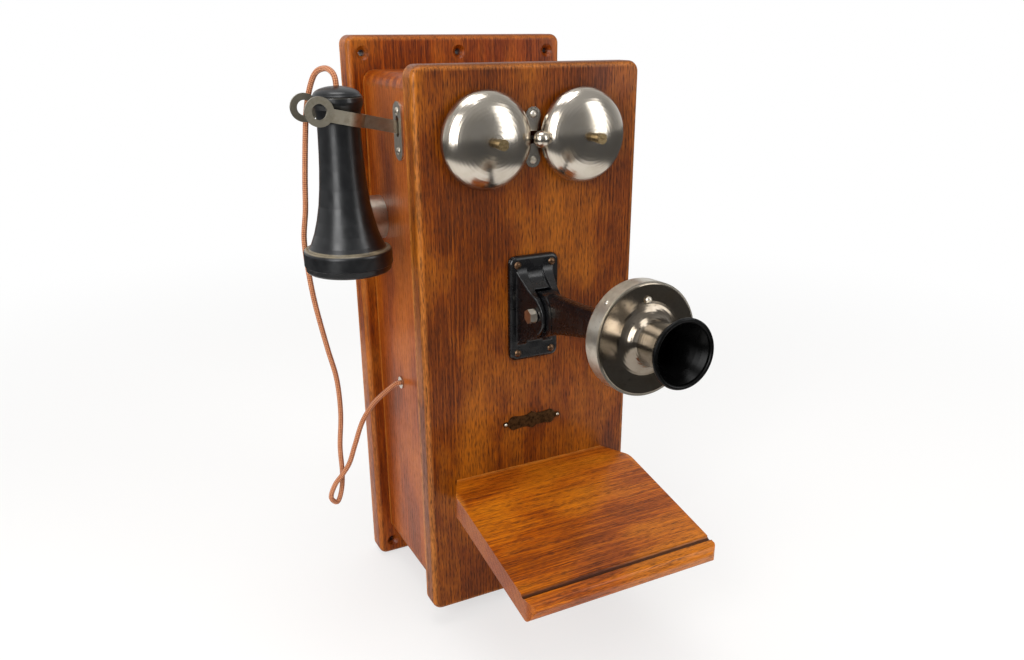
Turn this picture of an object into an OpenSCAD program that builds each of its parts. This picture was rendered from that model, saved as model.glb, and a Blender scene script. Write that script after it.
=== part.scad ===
// Oak wall telephone: a box set with two gongs on the door, a transmitter on a
// tilting arm, a writing shelf, and a receiver that hangs on a switch hook.
// The origin is the centre of the backboard's back face, where it meets the wall.
// +X is to the user's right, -Y comes out of the wall and +Z is up.

/* [Backboard] */
// Width of the backboard
board_w = 208; // [196:1:240]
// Height of the backboard
board_h = 512; // [496:1:560]
// Thickness of the backboard
board_t = 20; // [16:1:25]
// Corner radius of the backboard
board_corner = 8; // [6:1:16]
// Rounding of the backboard's front edges
board_edge = 5; // [2:0.5:6]
// Distance of the mounting holes from the board's edges
hole_inset = 14; // [12:0.5:16]
// Diameter of the mounting screw holes
hole_d = 5.5; // [4:0.5:7]
// Diameter of the countersinks of the mounting holes
sink_d = 12; // [9:0.5:14]

/* [Case] */
// Width across the case sides
case_w = 182; // [170:1:190]
// Height of the case
case_h = 456; // [440:1:470]
// Depth of the case from the backboard to the door
case_d = 122; // [112:1:140]
// Thickness of the case walls
wall_t = 12; // [10:0.5:14]
// Radius of the case's outer corners
case_corner = 10; // [6:1:12]
// Number of fingers along each corner joint
fingers = 15; // [9:2:19]

/* [Door] */
// Width of the door
door_w = 200; // [190:1:206]
// Height of the door
door_h = 474; // [460:1:490]
// Thickness of the door
door_t = 18; // [15:1:22]
// Corner radius of the door
door_corner = 9; // [6:1:14]
// Rounding of the door's front edges
door_edge = 4.5; // [2:0.5:6]
// Length of each door hinge
hinge_len = 60; // [40:1:80]
// Height of each hinge above and below the middle
hinge_z = 165; // [140:1:180]
// Diameter of the hinge pins
hinge_pin_d = 3; // [2:0.5:4]
// Radius of the hinge knuckles
knuckle_r = 3.2; // [3:0.1:3.4]

/* [Gongs] */
// Rim diameter of each gong
gong_d = 76.2; // [70:0.1:78]
// Height of each gong's dome
gong_h = 19; // [16:0.5:24]
// Wall of the gongs
gong_wall = 1.6; // [1.2:0.1:2]
// Distance of each gong's centre from the middle of the door
gong_x = 43; // [42:0.5:46]
// Height of the gongs above the middle of the case
gong_z = 181; // [170:1:186]
// Gap between the door and the gongs' rims
gong_gap = 5; // [4:0.5:8]
// Diameter of the gong posts
gong_post_d = 7; // [5:0.5:8]
// Diameter of the clapper ball
ball_d = 13; // [10:0.5:14]
// Distance of the clapper ball in front of the door
ball_out = 15; // [13:0.5:18]
// Length of the clapper rod from its pivot to the ball
rod_len = 65; // [55:1:75]

/* [Transmitter] */
// Width of the bracket plate
bracket_w = 46; // [40:1:56]
// Height of the bracket plate
bracket_h = 91; // [84:1:100]
// Thickness of the bracket plate
bracket_t = 5; // [4:0.5:7]
// Height of the bracket's middle above the middle of the case
bracket_z = 41; // [20:1:60]
// Distance of the arm's pivot in front of the door
pivot_out = 27; // [25:1:32]
// Diameter of the pivot bolt
pivot_d = 6; // [5:0.5:7]
// Width of the arm at the pivot
arm_w = 14; // [10:1:18]
// Radius of the arm's knuckle
knuckle_arm_r = 19; // [17:0.5:20]
// Reach of the arm from its pivot to the transmitter's back
arm_reach = 112; // [90:1:130]
// Rise of the arm over that reach
arm_rise = 19; // [10:1:26]
// Upward tilt of the transmitter's axis in degrees
face_tilt = 3.6; // [0:0.2:8]
// Diameter of the transmitter's faceplate
face_d = 79; // [72:1:90]
// Depth of the transmitter's rim band
band_d = 12.5; // [10:0.5:16]
// Depth of the dished back of the transmitter
back_d = 15; // [12:1:20]
// Height of the mouthpiece's rim in front of the faceplate
mouth_h = 43; // [36:1:50]
// Rim diameter of the mouthpiece
mouth_d = 48.5; // [44:0.5:56]

/* [Receiver] */
// Distance of the receiver's axis from the case's side
receiver_out = 49; // [47:1:56]
// Distance of the hook and the receiver from the backboard's front
hook_from_board = 85; // [80:1:90]
// Height of the hook plate's middle above the middle of the case
hook_z = 185; // [170:1:190]
// Height of the switch hook's strip
strip_h = 10; // [8:0.5:11]
// Thickness of the switch hook's strip
strip_t = 2.2; // [1.6:0.1:2.6]
// Slope of the switch hook towards its fork in degrees
hook_slope = 12.5; // [8:0.5:14]
// Outer diameter of the fork's rings
ring_d = 22; // [18:0.5:24]
// Hole diameter of the fork's rings
ring_hole_d = 11.6; // [8:0.2:14]
// Diameter of the ear cap
ear_d = 71; // [64:0.5:72]
// Neck diameter of the receiver
neck_d = 33.2; // [28:0.2:34]
// Clearance of the receiver's neck in the fork
neck_gap = 1.7; // [1.4:0.1:2.2]

/* [Side fittings] */
// Diameter of the round push-button housing
button_d = 38; // [32:1:42]
// Depth of the push-button housing
button_h = 17; // [12:1:20]
// Travel of the push button
button_travel = 2.5; // [1:0.5:3]
// Height of the push button above the middle of the case
button_z = 106; // [96:1:118]
// Distance of the push button from the backboard's front
button_from_board = 27; // [24:1:34]
// Diameter of the cord
cord_d = 4.6; // [4:0.1:5]
// Height of the cord's grommet above the middle of the case
grommet_z = -41; // [-60:1:-30]
// Distance of the cord's grommet from the backboard's front
grommet_from_board = 58.5; // [50:0.5:70]

/* [Shelf] */
// Width of the shelf
shelf_w = 174; // [150:1:190]
// Width of the shelf where it meets the door
shelf_root_w = 148; // [130:1:160]
// Reach of the shelf in front of the door
shelf_reach = 161; // [130:1:180]
// Depth of the shelf's level strip along the door
shelf_level = 34; // [26:1:44]
// Slope of the shelf in degrees
shelf_slope = 11; // [6:0.5:16]
// Thickness of the shelf
shelf_t = 19.5; // [15:0.5:22]
// Height of the shelf's top at the door, from the middle of the case
shelf_z = -107.5; // [-130:0.5:-90]

/* [Hidden] */
eps = 0.01;
fit = 0.05;   // radial running clearance of every pin and shaft
slack = 0.3;  // gap between pieces that move past each other
board_y = -board_t;
case_y = board_y - case_d;   // plane where the case meets the door
door_y = case_y - door_t;    // face of the door
side_x = -case_w / 2;        // outer face of the left side
oak = "#a5602a";
oak_dark = "#8a4a20";
nickel = "#b9b4a8";
japan = "#1c1b1a";
rubber = "#17181a";
steel = "#8d8f92";
brass = "#b08d4a";

// Frame on the door: x across, y up, z out of the door
module on_door() translate([0, door_y, 0]) rotate([90, 0, 0]) children();
// Frame behind the door: x across, y up, z into the case
module behind_door() translate([0, case_y, 0]) mirror([0, 1, 0]) rotate([90, 0, 0]) children();
// Frame inside the case on the backboard: x across, y up, z towards the door
module on_board() translate([0, board_y, 0]) rotate([90, 0, 0]) children();
// Frame on the left side: x up, y towards the wall, z out of the side
module on_side(from_board, up) {
  translate([side_x, board_y - from_board, up]) rotate([0, -90, 0]) children();
}
// Points of an arc about c, from angle a0 to a1 in n steps
function arc(c, r, a0, a1, n = 8) =
  [for (i = [0:n]) let (a = a0 + (a1 - a0) * i / n) [c[0] + r * cos(a), c[1] + r * sin(a)]];

// Plan outline with rounded corners, centred
module rounded_plan(w, h, r) {
  for (s = [0, 1]) square([w - 2 * r * s, h - 2 * r * (1 - s)], center = true);
  for (x = [-1, 1], y = [-1, 1]) translate([x * (w / 2 - r), y * (h / 2 - r)]) circle(r, $fn = 48);
}
// Board with rounded corners and a rounded front edge, its back at z = 0
module rounded_board(w, h, t, corner, edge) {
  hull()
    for (x = [-1, 1], y = [-1, 1])
      translate([x * (w / 2 - corner), y * (h / 2 - corner), 0]) rotate_extrude($fn = 32) {
        square([corner, t - edge]);
        square([corner - edge, t]);
        translate([corner - edge, t - edge]) intersection() {
          circle(edge, $fn = 24);
          square(edge);
        }
      }
}
// Slotted round-head screw, its seat at z = 0
module screw_head(d, h) {
  difference() {
    intersection() {
      cylinder(d = d, h = h, $fn = 24);
      translate([0, 0, h - d * 0.62]) sphere(d * 0.62, $fn = 32);
    }
    translate([-d, -d * 0.07, h * 0.55]) cube([2 * d, d * 0.14, h]);
  }
}
// Screw with its shank below the seat
module screw(d, h, shank_d, len) {
  screw_head(d, h);
  translate([0, 0, -len]) cylinder(d = shank_d, h = len + eps, $fn = 24);
}
// Stadium outline, upright, of width w and height h
module stadium(w, h) {
  square([w, h - w], center = true);
  for (s = [-1, 1]) translate([0, s * (h - w) / 2]) circle(d = w, $fn = 40);
}

// ---- backboard -------------------------------------------------------------
hole_x = board_w / 2 - hole_inset;
hole_z = board_h / 2 - hole_inset - 0.5;
board_holes = concat([for (x = [-1, 1], z = [-1, 1]) [x * hole_x, z * hole_z]],
                     [[0, hole_z], [0, -hole_z]]);
sink_depth = (sink_d - hole_d) / 2;
module backboard() {
  color(oak)
    rotate([90, 0, 0]) difference() {
      rounded_board(board_w, board_h, board_t, board_corner, board_edge);
      for (p = board_holes) translate([p[0], p[1], 0]) {
        translate([0, 0, -1]) cylinder(d = hole_d, h = board_t + 2, $fn = 32);
        translate([0, 0, board_t - sink_depth])
          cylinder(d1 = hole_d, d2 = sink_d + 0.2, h = sink_depth + 0.1, $fn = 32);
      }
    }
}

// ---- case ------------------------------------------------------------------
inner_w = case_w - 2 * wall_t;
inner_h = case_h - 2 * wall_t;
finger_d = case_d / fingers;
// Case outline swept over the whole depth, local z from the backboard to the door
module case_block() linear_extrude(case_d) rounded_plan(case_w, case_h, case_corner);
// Cuts for the fingers of the given parity in all four corners; each reaches in_x and in_y
// past the corner block, so that it clears the wall it is taken from
module finger_cuts(odd, in_x, in_y) {
  for (i = [odd:2:fingers - 1], x = [0, 1], y = [0, 1]) {
    low = i == 0 ? 1 : 0;
    high = i == fingers - 1 ? 1 : 0;
    mirror([x, 0, 0]) mirror([0, y, 0])
      translate([inner_w / 2 - in_x, inner_h / 2 - in_y, i * finger_d - low])
        cube([wall_t + 1 + in_x, wall_t + 1 + in_y, finger_d + low + high]);
  }
}
module side_wall(s) {
  difference() {
    intersection() {
      case_block();
      translate([s > 0 ? inner_w / 2 : -case_w / 2 - 1, -case_h / 2 - 1, -1])
        cube([wall_t + 1, case_h + 2, case_d + 2]);
    }
    finger_cuts(1, 1, 0);
  }
}
module end_wall(s) {
  difference() {
    intersection() {
      case_block();
      translate([-case_w / 2 - 1, s > 0 ? inner_h / 2 : -case_h / 2 - 1, -1])
        cube([case_w + 2, wall_t + 1, case_d + 2]);
    }
    finger_cuts(0, 0, 1);
  }
}
slot_w = strip_t + 4;
slot_h = strip_h + 6.5;
slot_rise = 3.7;            // slot's middle above the hook plate's middle
grommet_r = 5.5;
grommet_shank_r = 4;
button_stem_d = 6;
module side_left() {
  color(oak) difference() {
    on_board() side_wall(-1);
    on_side(hook_from_board, hook_z + slot_rise) translate([0, 0, -wall_t - 1])
      linear_extrude(wall_t + 2) rotate(90) stadium(slot_w + 1, slot_h + 2);
    on_side(grommet_from_board, grommet_z) translate([0, 0, -wall_t - 1])
      cylinder(r = grommet_shank_r + fit, h = wall_t + 2, $fn = 32);
    on_side(button_from_board, button_z) translate([0, 0, -wall_t - 1])
      cylinder(d = button_stem_d + 2, h = wall_t + 2, $fn = 32);
  }
}
// Mortise for one hinge leaf in the right side's front edge
leaf_t = 1.6;
leaf_w = wall_t - 2;
hinge_x = case_w / 2 + knuckle_r + 0.4;
hinge_y = case_y + knuckle_r + 0.4;
module side_right() {
  color(oak) difference() {
    on_board() side_wall(1);
    for (s = [-1, 1])
      translate([case_w / 2 - leaf_w, case_y - eps, s * hinge_z - hinge_len / 2])
        cube([leaf_w + 1, leaf_t + eps, hinge_len]);
  }
}
module top_panel() color(oak) on_board() end_wall(1);
module bottom_panel() color(oak) on_board() end_wall(-1);

// ---- hinges ----------------------------------------------------------------
knuckles = 5;
knuckle_gap = 0.3;
knuckle_len = hinge_len / knuckles;
// Knuckles with the given parity along one hinge, from z = 0 up
module knuckle_row(odd) {
  for (i = [odd:2:knuckles - 1])
    translate([0, 0, i * knuckle_len + knuckle_gap / 2]) difference() {
      cylinder(r = knuckle_r, h = knuckle_len - knuckle_gap, $fn = 32);
      translate([0, 0, -1]) cylinder(d = hinge_pin_d + 2 * fit, h = knuckle_len + 2, $fn = 32);
    }
}
// Web that joins a leaf to its knuckles, cut short of the pin
module knuckle_web(odd, from, to, y0, y1) {
  for (i = [odd:2:knuckles - 1])
    translate([from, y0, i * knuckle_len + knuckle_gap / 2]) difference() {
      cube([to - from, y1 - y0, knuckle_len - knuckle_gap]);
      translate([hinge_x - from, hinge_y - y0, -1])
        cylinder(r = knuckle_r - 0.5, h = knuckle_len + 2, $fn = 32);
    }
}
module hinge_leaves_case() {
  color(brass) for (s = [-1, 1]) translate([0, 0, s * hinge_z - hinge_len / 2]) {
    translate([case_w / 2 - leaf_w, case_y, 0]) cube([leaf_w, leaf_t, hinge_len]);
    translate([hinge_x, hinge_y, 0]) knuckle_row(0);
    knuckle_web(0, case_w / 2 - eps, hinge_x, case_y, case_y + leaf_t);
  }
}
module hinge_leaves_door() {
  color(brass) for (s = [-1, 1]) translate([0, 0, s * hinge_z - hinge_len / 2]) {
    translate([case_w / 2 - leaf_w, case_y - leaf_t, 0])
      cube([leaf_w + hinge_x - case_w / 2, leaf_t, hinge_len]);
    translate([hinge_x, hinge_y, 0]) knuckle_row(1);
    knuckle_web(1, hinge_x - leaf_t, hinge_x, case_y - eps, hinge_y);
  }
}
module hinge_pins() {
  color(brass) for (s = [-1, 1])
    translate([hinge_x, hinge_y, s * hinge_z - hinge_len / 2 - 1]) {
      cylinder(d = hinge_pin_d, h = hinge_len + 2, $fn = 32);
      for (z = [-1.5, hinge_len + 2]) translate([0, 0, z]) cylinder(r = knuckle_r, h = 1.5, $fn = 32);
    }
}

// ---- switch hook and its switch --------------------------------------------
hook_y = board_y - hook_from_board;
pivot_in = 18;                             // pivot's distance inside the case's outer face
hook_pivot_x = side_x + pivot_in;
hook_pivot_z = hook_z + 3 - (pivot_in + 1) * tan(hook_slope);
hook_pin_d = 4;
plate_w = 18;
plate_h = 46;
plate_t = 1.6;
plate_screw = plate_h / 2 - 7.5;           // screws above and below the plate's middle
module hook_plate() {
  color(nickel) on_side(hook_from_board, hook_z) difference() {
    linear_extrude(plate_t) rotate(90) stadium(plate_w, plate_h);
    translate([slot_rise, 0, -1]) linear_extrude(plate_t + 2) rotate(90) stadium(slot_w, slot_h);
    for (s = [-1, 1]) translate([s * plate_screw, 0, -1]) cylinder(d = 3.2, h = plate_t + 2, $fn = 24);
  }
}
module hook_plate_screws() {
  color(brass) on_side(hook_from_board, hook_z) for (s = [-1, 1])
    translate([s * plate_screw, 0, plate_t]) screw_head(6, 1.8);
}
// Frame of the lever: origin on its pivot, -x runs out along the strip
module on_lever() {
  translate([hook_pivot_x, hook_y, hook_pivot_z]) rotate([0, hook_slope, 0]) children();
}
fork_r = neck_d / 2 + neck_gap;            // inner radius of the fork
receiver_x = side_x - receiver_out;
fork_at = (hook_pivot_x - receiver_x) / cos(hook_slope);
tine_len = 21;
tine_lean = 5.3;                           // outward lean of each tine in degrees
ring_rise = 1;                             // rings' centres above the strip's middle
hub_r = 4.6;
tail_len = 16;
// Distance from the middle at the tines' ends of a line that leaves a circle of radius r
function tine_y(r) = (r + tine_len * sin(tine_lean)) / cos(tine_lean);
// Plan of the fork: an arc round the receiver's neck and two tines that leave it smoothly
module fork_plan() {
  turn = 90 - tine_lean;
  out = fork_r + strip_t;
  polygon(concat(
    arc([0, 0], out, -turn, turn, 40),
    [[-tine_len, tine_y(out)], [-tine_len, tine_y(fork_r)]],
    arc([0, 0], fork_r, turn, -turn, 40),
    [[-tine_len, -tine_y(fork_r)], [-tine_len, -tine_y(out)]]));
}
module hook_lever() {
  color(nickel) on_lever() difference() {
    union() {
      // strip from the tail to the back of the fork
      translate([-fork_at + fork_r + strip_t / 2, -strip_t / 2, -strip_h / 2])
        cube([fork_at - fork_r - strip_t / 2, strip_t, strip_h]);
      translate([0, -strip_t / 2, -strip_h / 4]) cube([tail_len, strip_t, strip_h / 2]);
      rotate([90, 0, 0]) cylinder(r = hub_r, h = strip_t + 2, center = true, $fn = 40);
      translate([-fork_at, 0, -strip_h / 2]) linear_extrude(strip_h) fork_plan();
      for (s = [-1, 1])
        translate([-fork_at - tine_len, s * tine_y(fork_r + strip_t / 2), ring_rise])
          rotate([90, 0, 0]) cylinder(d = ring_d, h = strip_t, center = true, $fn = 56);
    }
    translate([-fork_at - tine_len, 0, ring_rise]) rotate([90, 0, 0])
      cylinder(d = ring_hole_d, h = 4 * fork_r, center = true, $fn = 48);
    rotate([90, 0, 0]) cylinder(d = hook_pin_d + 2 * fit, h = 30, center = true, $fn = 32);
  }
}
cheek_gap = strip_t + 3;
cheek_t = 2;
switch_h = 56;
foot_t = 2;
module switch_bracket() {
  // a foot plate on the side, with a window for the lever between two cheeks
  color(steel) translate([side_x + wall_t, hook_y, hook_pivot_z]) difference() {
    union() {
      difference() {
        translate([0, -cheek_gap / 2 - cheek_t - 2, -11 - switch_h])
          cube([foot_t, cheek_gap + cheek_t + 18, switch_h + 22]);
        translate([-1, -cheek_gap / 2 + slack, -9]) cube([foot_t + 2, cheek_gap - 2 * slack, 30]);
      }
      for (s = [-1, 1])
        translate([foot_t / 2, s * (cheek_gap + cheek_t) / 2 - cheek_t / 2, -10]) cube([15, cheek_t, 20]);
    }
    translate([pivot_in - wall_t, 0, 0]) rotate([90, 0, 0])
      cylinder(d = hook_pin_d, h = 40, center = true, $fn = 32);
  }
}
module hook_pivot_pin() {
  color(steel) translate([hook_pivot_x, hook_y, hook_pivot_z]) rotate([90, 0, 0])
    cylinder(d = hook_pin_d, h = cheek_gap + 2 * cheek_t + 2, center = true, $fn = 32);
}
spring_t = 0.8;
module switch_springs() {
  // stack of contact leaves on the foot plate, clear below the lever's tail
  base_z = hook_pivot_z - 11 - switch_h + 4;
  color(brass) translate([side_x + wall_t + 2, hook_y - 4, base_z]) {
    for (i = [0:2]) {
      translate([i * 5, 0, 0]) cube([spring_t, 8, switch_h - 8 - i * 5]);
      translate([i * 5 - (i == 0 ? 0 : 4.2), 0, 0]) cube([i == 0 ? spring_t : 4.2 + spring_t, 8, 12]);
    }
  }
}

// ---- push button on the left side ------------------------------------------
button_hole_d = 16;
shell_wall = 1.8;
module button_shell() {
  color(nickel) on_side(button_from_board, button_z) rotate_extrude($fn = 72) difference() {
    union() {
      square([button_d / 2, button_h - 3]);
      square([button_d / 2 - 3, button_h]);
      translate([button_d / 2 - 3, button_h - 3]) circle(3, $fn = 32);
    }
    translate([-1, -1]) square([button_d / 2 - shell_wall + 1, button_h - shell_wall + 1]);
    translate([-1, -1]) square([button_hole_d / 2 + 1, button_h + 2]);
  }
}
flange_t = 3;
flange_z = button_h - shell_wall - slack - flange_t;   // underside of the plunger's flange
module button_plunger() {
  color(rubber) on_side(button_from_board, button_z) {
    translate([0, 0, flange_z])
      cylinder(d = button_hole_d - 2 * slack, h = button_h + button_travel - flange_z, $fn = 48);
    translate([0, 0, flange_z]) cylinder(d = button_hole_d + 4, h = flange_t, $fn = 48);
    translate([0, 0, -wall_t - 2]) cylinder(d = button_stem_d, h = wall_t + 2 + flange_z, $fn = 32);
  }
}
spring_r = 6;
wire_r = 0.4;
spring_turns = 5;
// Coil with a flat turn at each end, from the oak up to the plunger's flange
module button_spring() {
  steps = 14;
  last = spring_turns * steps;
  path = [for (i = [0:last])
    let (t = min(1, max(0, (i - steps) / (last - 2 * steps))))
    [spring_r * cos(360 * i / steps), spring_r * sin(360 * i / steps),
     wire_r + t * (flange_z - 2 * wire_r)]];
  color(steel) on_side(button_from_board, button_z) tube(path, wire_r, 6);
}

// ---- cord grommet ----------------------------------------------------------
grommet_h = 1.6;
module cord_grommet() {
  color(nickel) on_side(grommet_from_board, grommet_z) difference() {
    union() {
      cylinder(r = grommet_r, h = grommet_h, $fn = 48);
      translate([0, 0, -wall_t]) cylinder(r = grommet_shank_r, h = wall_t + eps, $fn = 48);
    }
    translate([0, 0, -wall_t - 1]) cylinder(d = cord_d - 1.6, h = wall_t + 4, $fn = 32);
    translate([0, 0, grommet_h - 0.6]) cylinder(d = cord_d + 2 * slack, h = 1, $fn = 32);
  }
}

// ---- pieces inside on the backboard ----------------------------------------
block_w = 120;
block_h = 30;
block_t = 14;
block_z = -175;
block_pitch = 20;
module terminal_block() {
  color(oak_dark) on_board() translate([0, block_z, 0]) difference() {
    translate([0, 0, block_t / 2]) cube([block_w, block_h, block_t], center = true);
    for (i = [-2.5:1:2.5]) translate([i * block_pitch, 0, block_t / 2 + 2])
      cylinder(d = 3.4, h = block_t, $fn = 24);
  }
}
module terminal_screws() {
  color(brass) on_board() for (i = [-2.5:1:2.5]) translate([i * block_pitch, block_z, block_t]) {
    cylinder(d = 10, h = 1, $fn = 32);
    translate([0, 0, 1]) screw_head(7, 3);
    translate([0, 0, -block_t / 2 + 3]) cylinder(d = 3.2, h = block_t / 2 - 3 + eps, $fn = 24);
  }
}
coil_len = 92;
coil_d = 34;
coil_z = -95;
module induction_coil() {
  color("#6b2f23") on_board() translate([0, coil_z, 24]) {
    rotate([0, 90, 0]) cylinder(d = coil_d, h = coil_len, center = true, $fn = 56);
    for (s = [-1, 1]) translate([s * coil_len / 2, 0, -1]) cube([7, 44, 46], center = true);
    for (s = [-1, 1]) translate([s * (coil_len / 2 + 8), 0, -21]) cube([10, 30, 6], center = true);
  }
}
can_z = -20;
module condenser() {
  color("#9a9a94") on_board() translate([0, can_z, 0]) {
    translate([0, 0, 14]) cube([110, 46, 28], center = true);
    for (s = [-1, 1]) translate([s * 62, 0, 0.8]) difference() {
      cube([14, 24, 1.6], center = true);
      cylinder(d = 4, h = 4, center = true, $fn = 24);
    }
  }
}

// ---- door ------------------------------------------------------------------
rod_d = 2.6;
rod_slot_w = 9;
rod_slot_h = 11;
clapper_plate_w = 13;
clapper_plate_h = 47;
clapper_plate_t = 1.4;
clapper_plate_screw = 17.5;
module door_panel() {
  color(oak_dark) difference() {
    translate([0, case_y, 0]) rotate([90, 0, 0])
      rounded_board(door_w, door_h, door_t, door_corner, door_edge);
    on_door() {
      for (s = [-1, 1]) translate([s * gong_x, gong_z, -door_t - 1])
        cylinder(d = gong_post_d - 2 + 2 * fit, h = door_t + 2, $fn = 32);
      translate([0, gong_z, -door_t - 1]) linear_extrude(door_t + 2)
        square([rod_slot_w, rod_slot_h], center = true);
      translate([0, bracket_z - 12, -door_t - 1]) cylinder(d = 9, h = door_t + 2, $fn = 32);
    }
    for (s = [-1, 1])
      translate([case_w / 2 - leaf_w, case_y - leaf_t, s * hinge_z - hinge_len / 2])
        cube([door_w, leaf_t + 1, hinge_len]);
  }
}

// ---- gongs and clapper -----------------------------------------------------
module gong() {
  r = gong_d / 2;
  n = 18;
  outer = [for (i = [0:n]) let (a = 90 * i / n) [r * cos(a), gong_h * sin(a)]];
  ri = r - gong_wall;
  hi = gong_h - gong_wall;
  inner = [for (i = [n:-1:0]) let (a = 90 * i / n) [ri * cos(a), hi * sin(a)]];
  rotate_extrude($fn = 96) difference() {
    polygon(concat(outer, inner));
    translate([-1, -1]) square([gong_post_d / 2 - 1 + fit + 1, gong_h + 4]);
  }
}
module gong_left() {
  color(nickel) on_door() translate([-gong_x, gong_z, gong_gap]) gong();
}
module gong_right() {
  color(nickel) on_door() translate([gong_x, gong_z, gong_gap]) gong();
}
post_top = gong_gap + gong_h;
module gong_posts() {
  color(brass) on_door() for (s = [-1, 1]) translate([s * gong_x, gong_z, 0]) {
    cylinder(d = gong_post_d + 3, h = 2, $fn = 32);
    cylinder(d = gong_post_d, h = post_top - gong_wall - slack, $fn = 32);
    translate([0, 0, -door_t - 4]) cylinder(d = gong_post_d - 2, h = door_t + post_top + 4, $fn = 32);
    translate([0, 0, -door_t - 4]) cylinder(d = 10, h = 3, $fn = 6);
    translate([0, 0, post_top]) cylinder(d = 7, h = 6.5, $fn = 32);
    translate([0, 0, post_top + 6.5]) difference() {
      cylinder(d = 8.4, h = 5.5, $fn = 32);
      translate([-5, -0.5, 4.3]) cube([10, 1, 2]);
    }
  }
}
module clapper_plate() {
  color(nickel) on_door() translate([0, gong_z, 0]) linear_extrude(clapper_plate_t) difference() {
    stadium(clapper_plate_w, clapper_plate_h);
    square([rod_slot_w - 1, rod_slot_h - 1], center = true);
    for (s = [-1, 1]) translate([0, s * clapper_plate_screw]) circle(d = 3, $fn = 24);
  }
}
module clapper_plate_screws() {
  color(brass) on_door() for (s = [-1, 1])
    translate([0, gong_z + s * clapper_plate_screw, clapper_plate_t]) screw_head(6, 1.8);
}
clapper_z = gong_z - rod_len;
clapper_in = 22;            // depth of the clapper's pivot behind the case's front plane
clapper_pin_d = 3;
armature_w = 58;
armature_h = 4;
hub_seat = 4.5;             // radius of the armature's hub, where the rod is seated
module clapper_armature() {
  color(steel) behind_door() translate([0, clapper_z, clapper_in]) difference() {
    union() {
      cube([armature_w, armature_h, 10], center = true);
      cylinder(r = hub_seat, h = 10, center = true, $fn = 40);
    }
    cylinder(d = clapper_pin_d + 2 * fit, h = 14, center = true, $fn = 32);
  }
}
module clapper_rod() {
  color(steel) {
    behind_door() translate([0, clapper_z, clapper_in]) rotate([-90, 0, 0]) translate([0, 0, hub_seat])
      cylinder(d = rod_d, h = rod_len - hub_seat, $fn = 24);
    behind_door() translate([0, gong_z, clapper_in]) sphere(d = rod_d, $fn = 24);
    translate([0, case_y + clapper_in, gong_z]) rotate([90, 0, 0])
      cylinder(d = rod_d, h = clapper_in + door_t + ball_out - ball_d / 2 + 1, $fn = 24);
  }
}
module clapper_ball() {
  color(nickel) on_door() translate([0, gong_z, ball_out]) difference() {
    sphere(d = ball_d, $fn = 56);
    translate([0, 0, -ball_d]) cylinder(d = rod_d, h = ball_d / 2 + 1, $fn = 24);
  }
}
ringer_coil_d = 24;
ringer_coil_h = 44;
coil_x = 18;
coil_gap = 1.8;
heel_t = 4;
coil_top = clapper_z - armature_h / 2 - coil_gap;
coil_bottom = coil_top - ringer_coil_h;
frame_t = 2.5;
module ringer_frame() {
  color(steel) behind_door() {
    // back plate on the door, heel under the coils and an ear for the pivot
    translate([-30, coil_bottom - heel_t, 0]) cube([60, clapper_z + 14 - coil_bottom + heel_t, frame_t]);
    translate([-30, coil_bottom - heel_t, 0]) cube([60, heel_t, clapper_in + 12]);
    translate([0, clapper_z, 0]) cylinder(d = 10, h = clapper_in - 5 - slack, $fn = 32);
    translate([0, clapper_z, 0]) cylinder(d = clapper_pin_d, h = clapper_in + 8, $fn = 32);
    for (s = [-1, 1]) translate([s * coil_x, coil_bottom - eps, clapper_in]) rotate([-90, 0, 0])
      cylinder(d = 8, h = 1, $fn = 32);
  }
}
module ringer_coils() {
  color("#5a2a1c") behind_door() for (s = [-1, 1])
    translate([s * coil_x, coil_bottom, clapper_in]) rotate([-90, 0, 0]) difference() {
      union() {
        cylinder(d = ringer_coil_d, h = ringer_coil_h - 2, $fn = 48);
        for (z = [0, ringer_coil_h - 4]) translate([0, 0, z]) cylinder(d = ringer_coil_d + 3, h = 2, $fn = 48);
        cylinder(d = 9, h = ringer_coil_h, $fn = 32);
      }
      translate([0, 0, -1]) cylinder(d = 8 + 2 * fit, h = 2 + fit, $fn = 32);
    }
}
magnet_w = 14;
module ringer_magnet() {
  color("#3a3c40") behind_door() {
    translate([-magnet_w / 2, coil_bottom, clapper_in + 12 - 4]) cube([magnet_w, clapper_z + 12 - coil_bottom, 4]);
    translate([-magnet_w / 2, clapper_z + 8, clapper_in + 3]) cube([magnet_w, 4, 9]);
  }
}

// ---- arm bracket -----------------------------------------------------------
pocket_r = 21;
pocket_w = arm_w + 11;
screw_dx = bracket_w / 2 - 7;
screw_dz = bracket_h / 2 - 7;
pivot_z = bracket_z + 1;
pivot_y = door_y - pivot_out;
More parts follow.
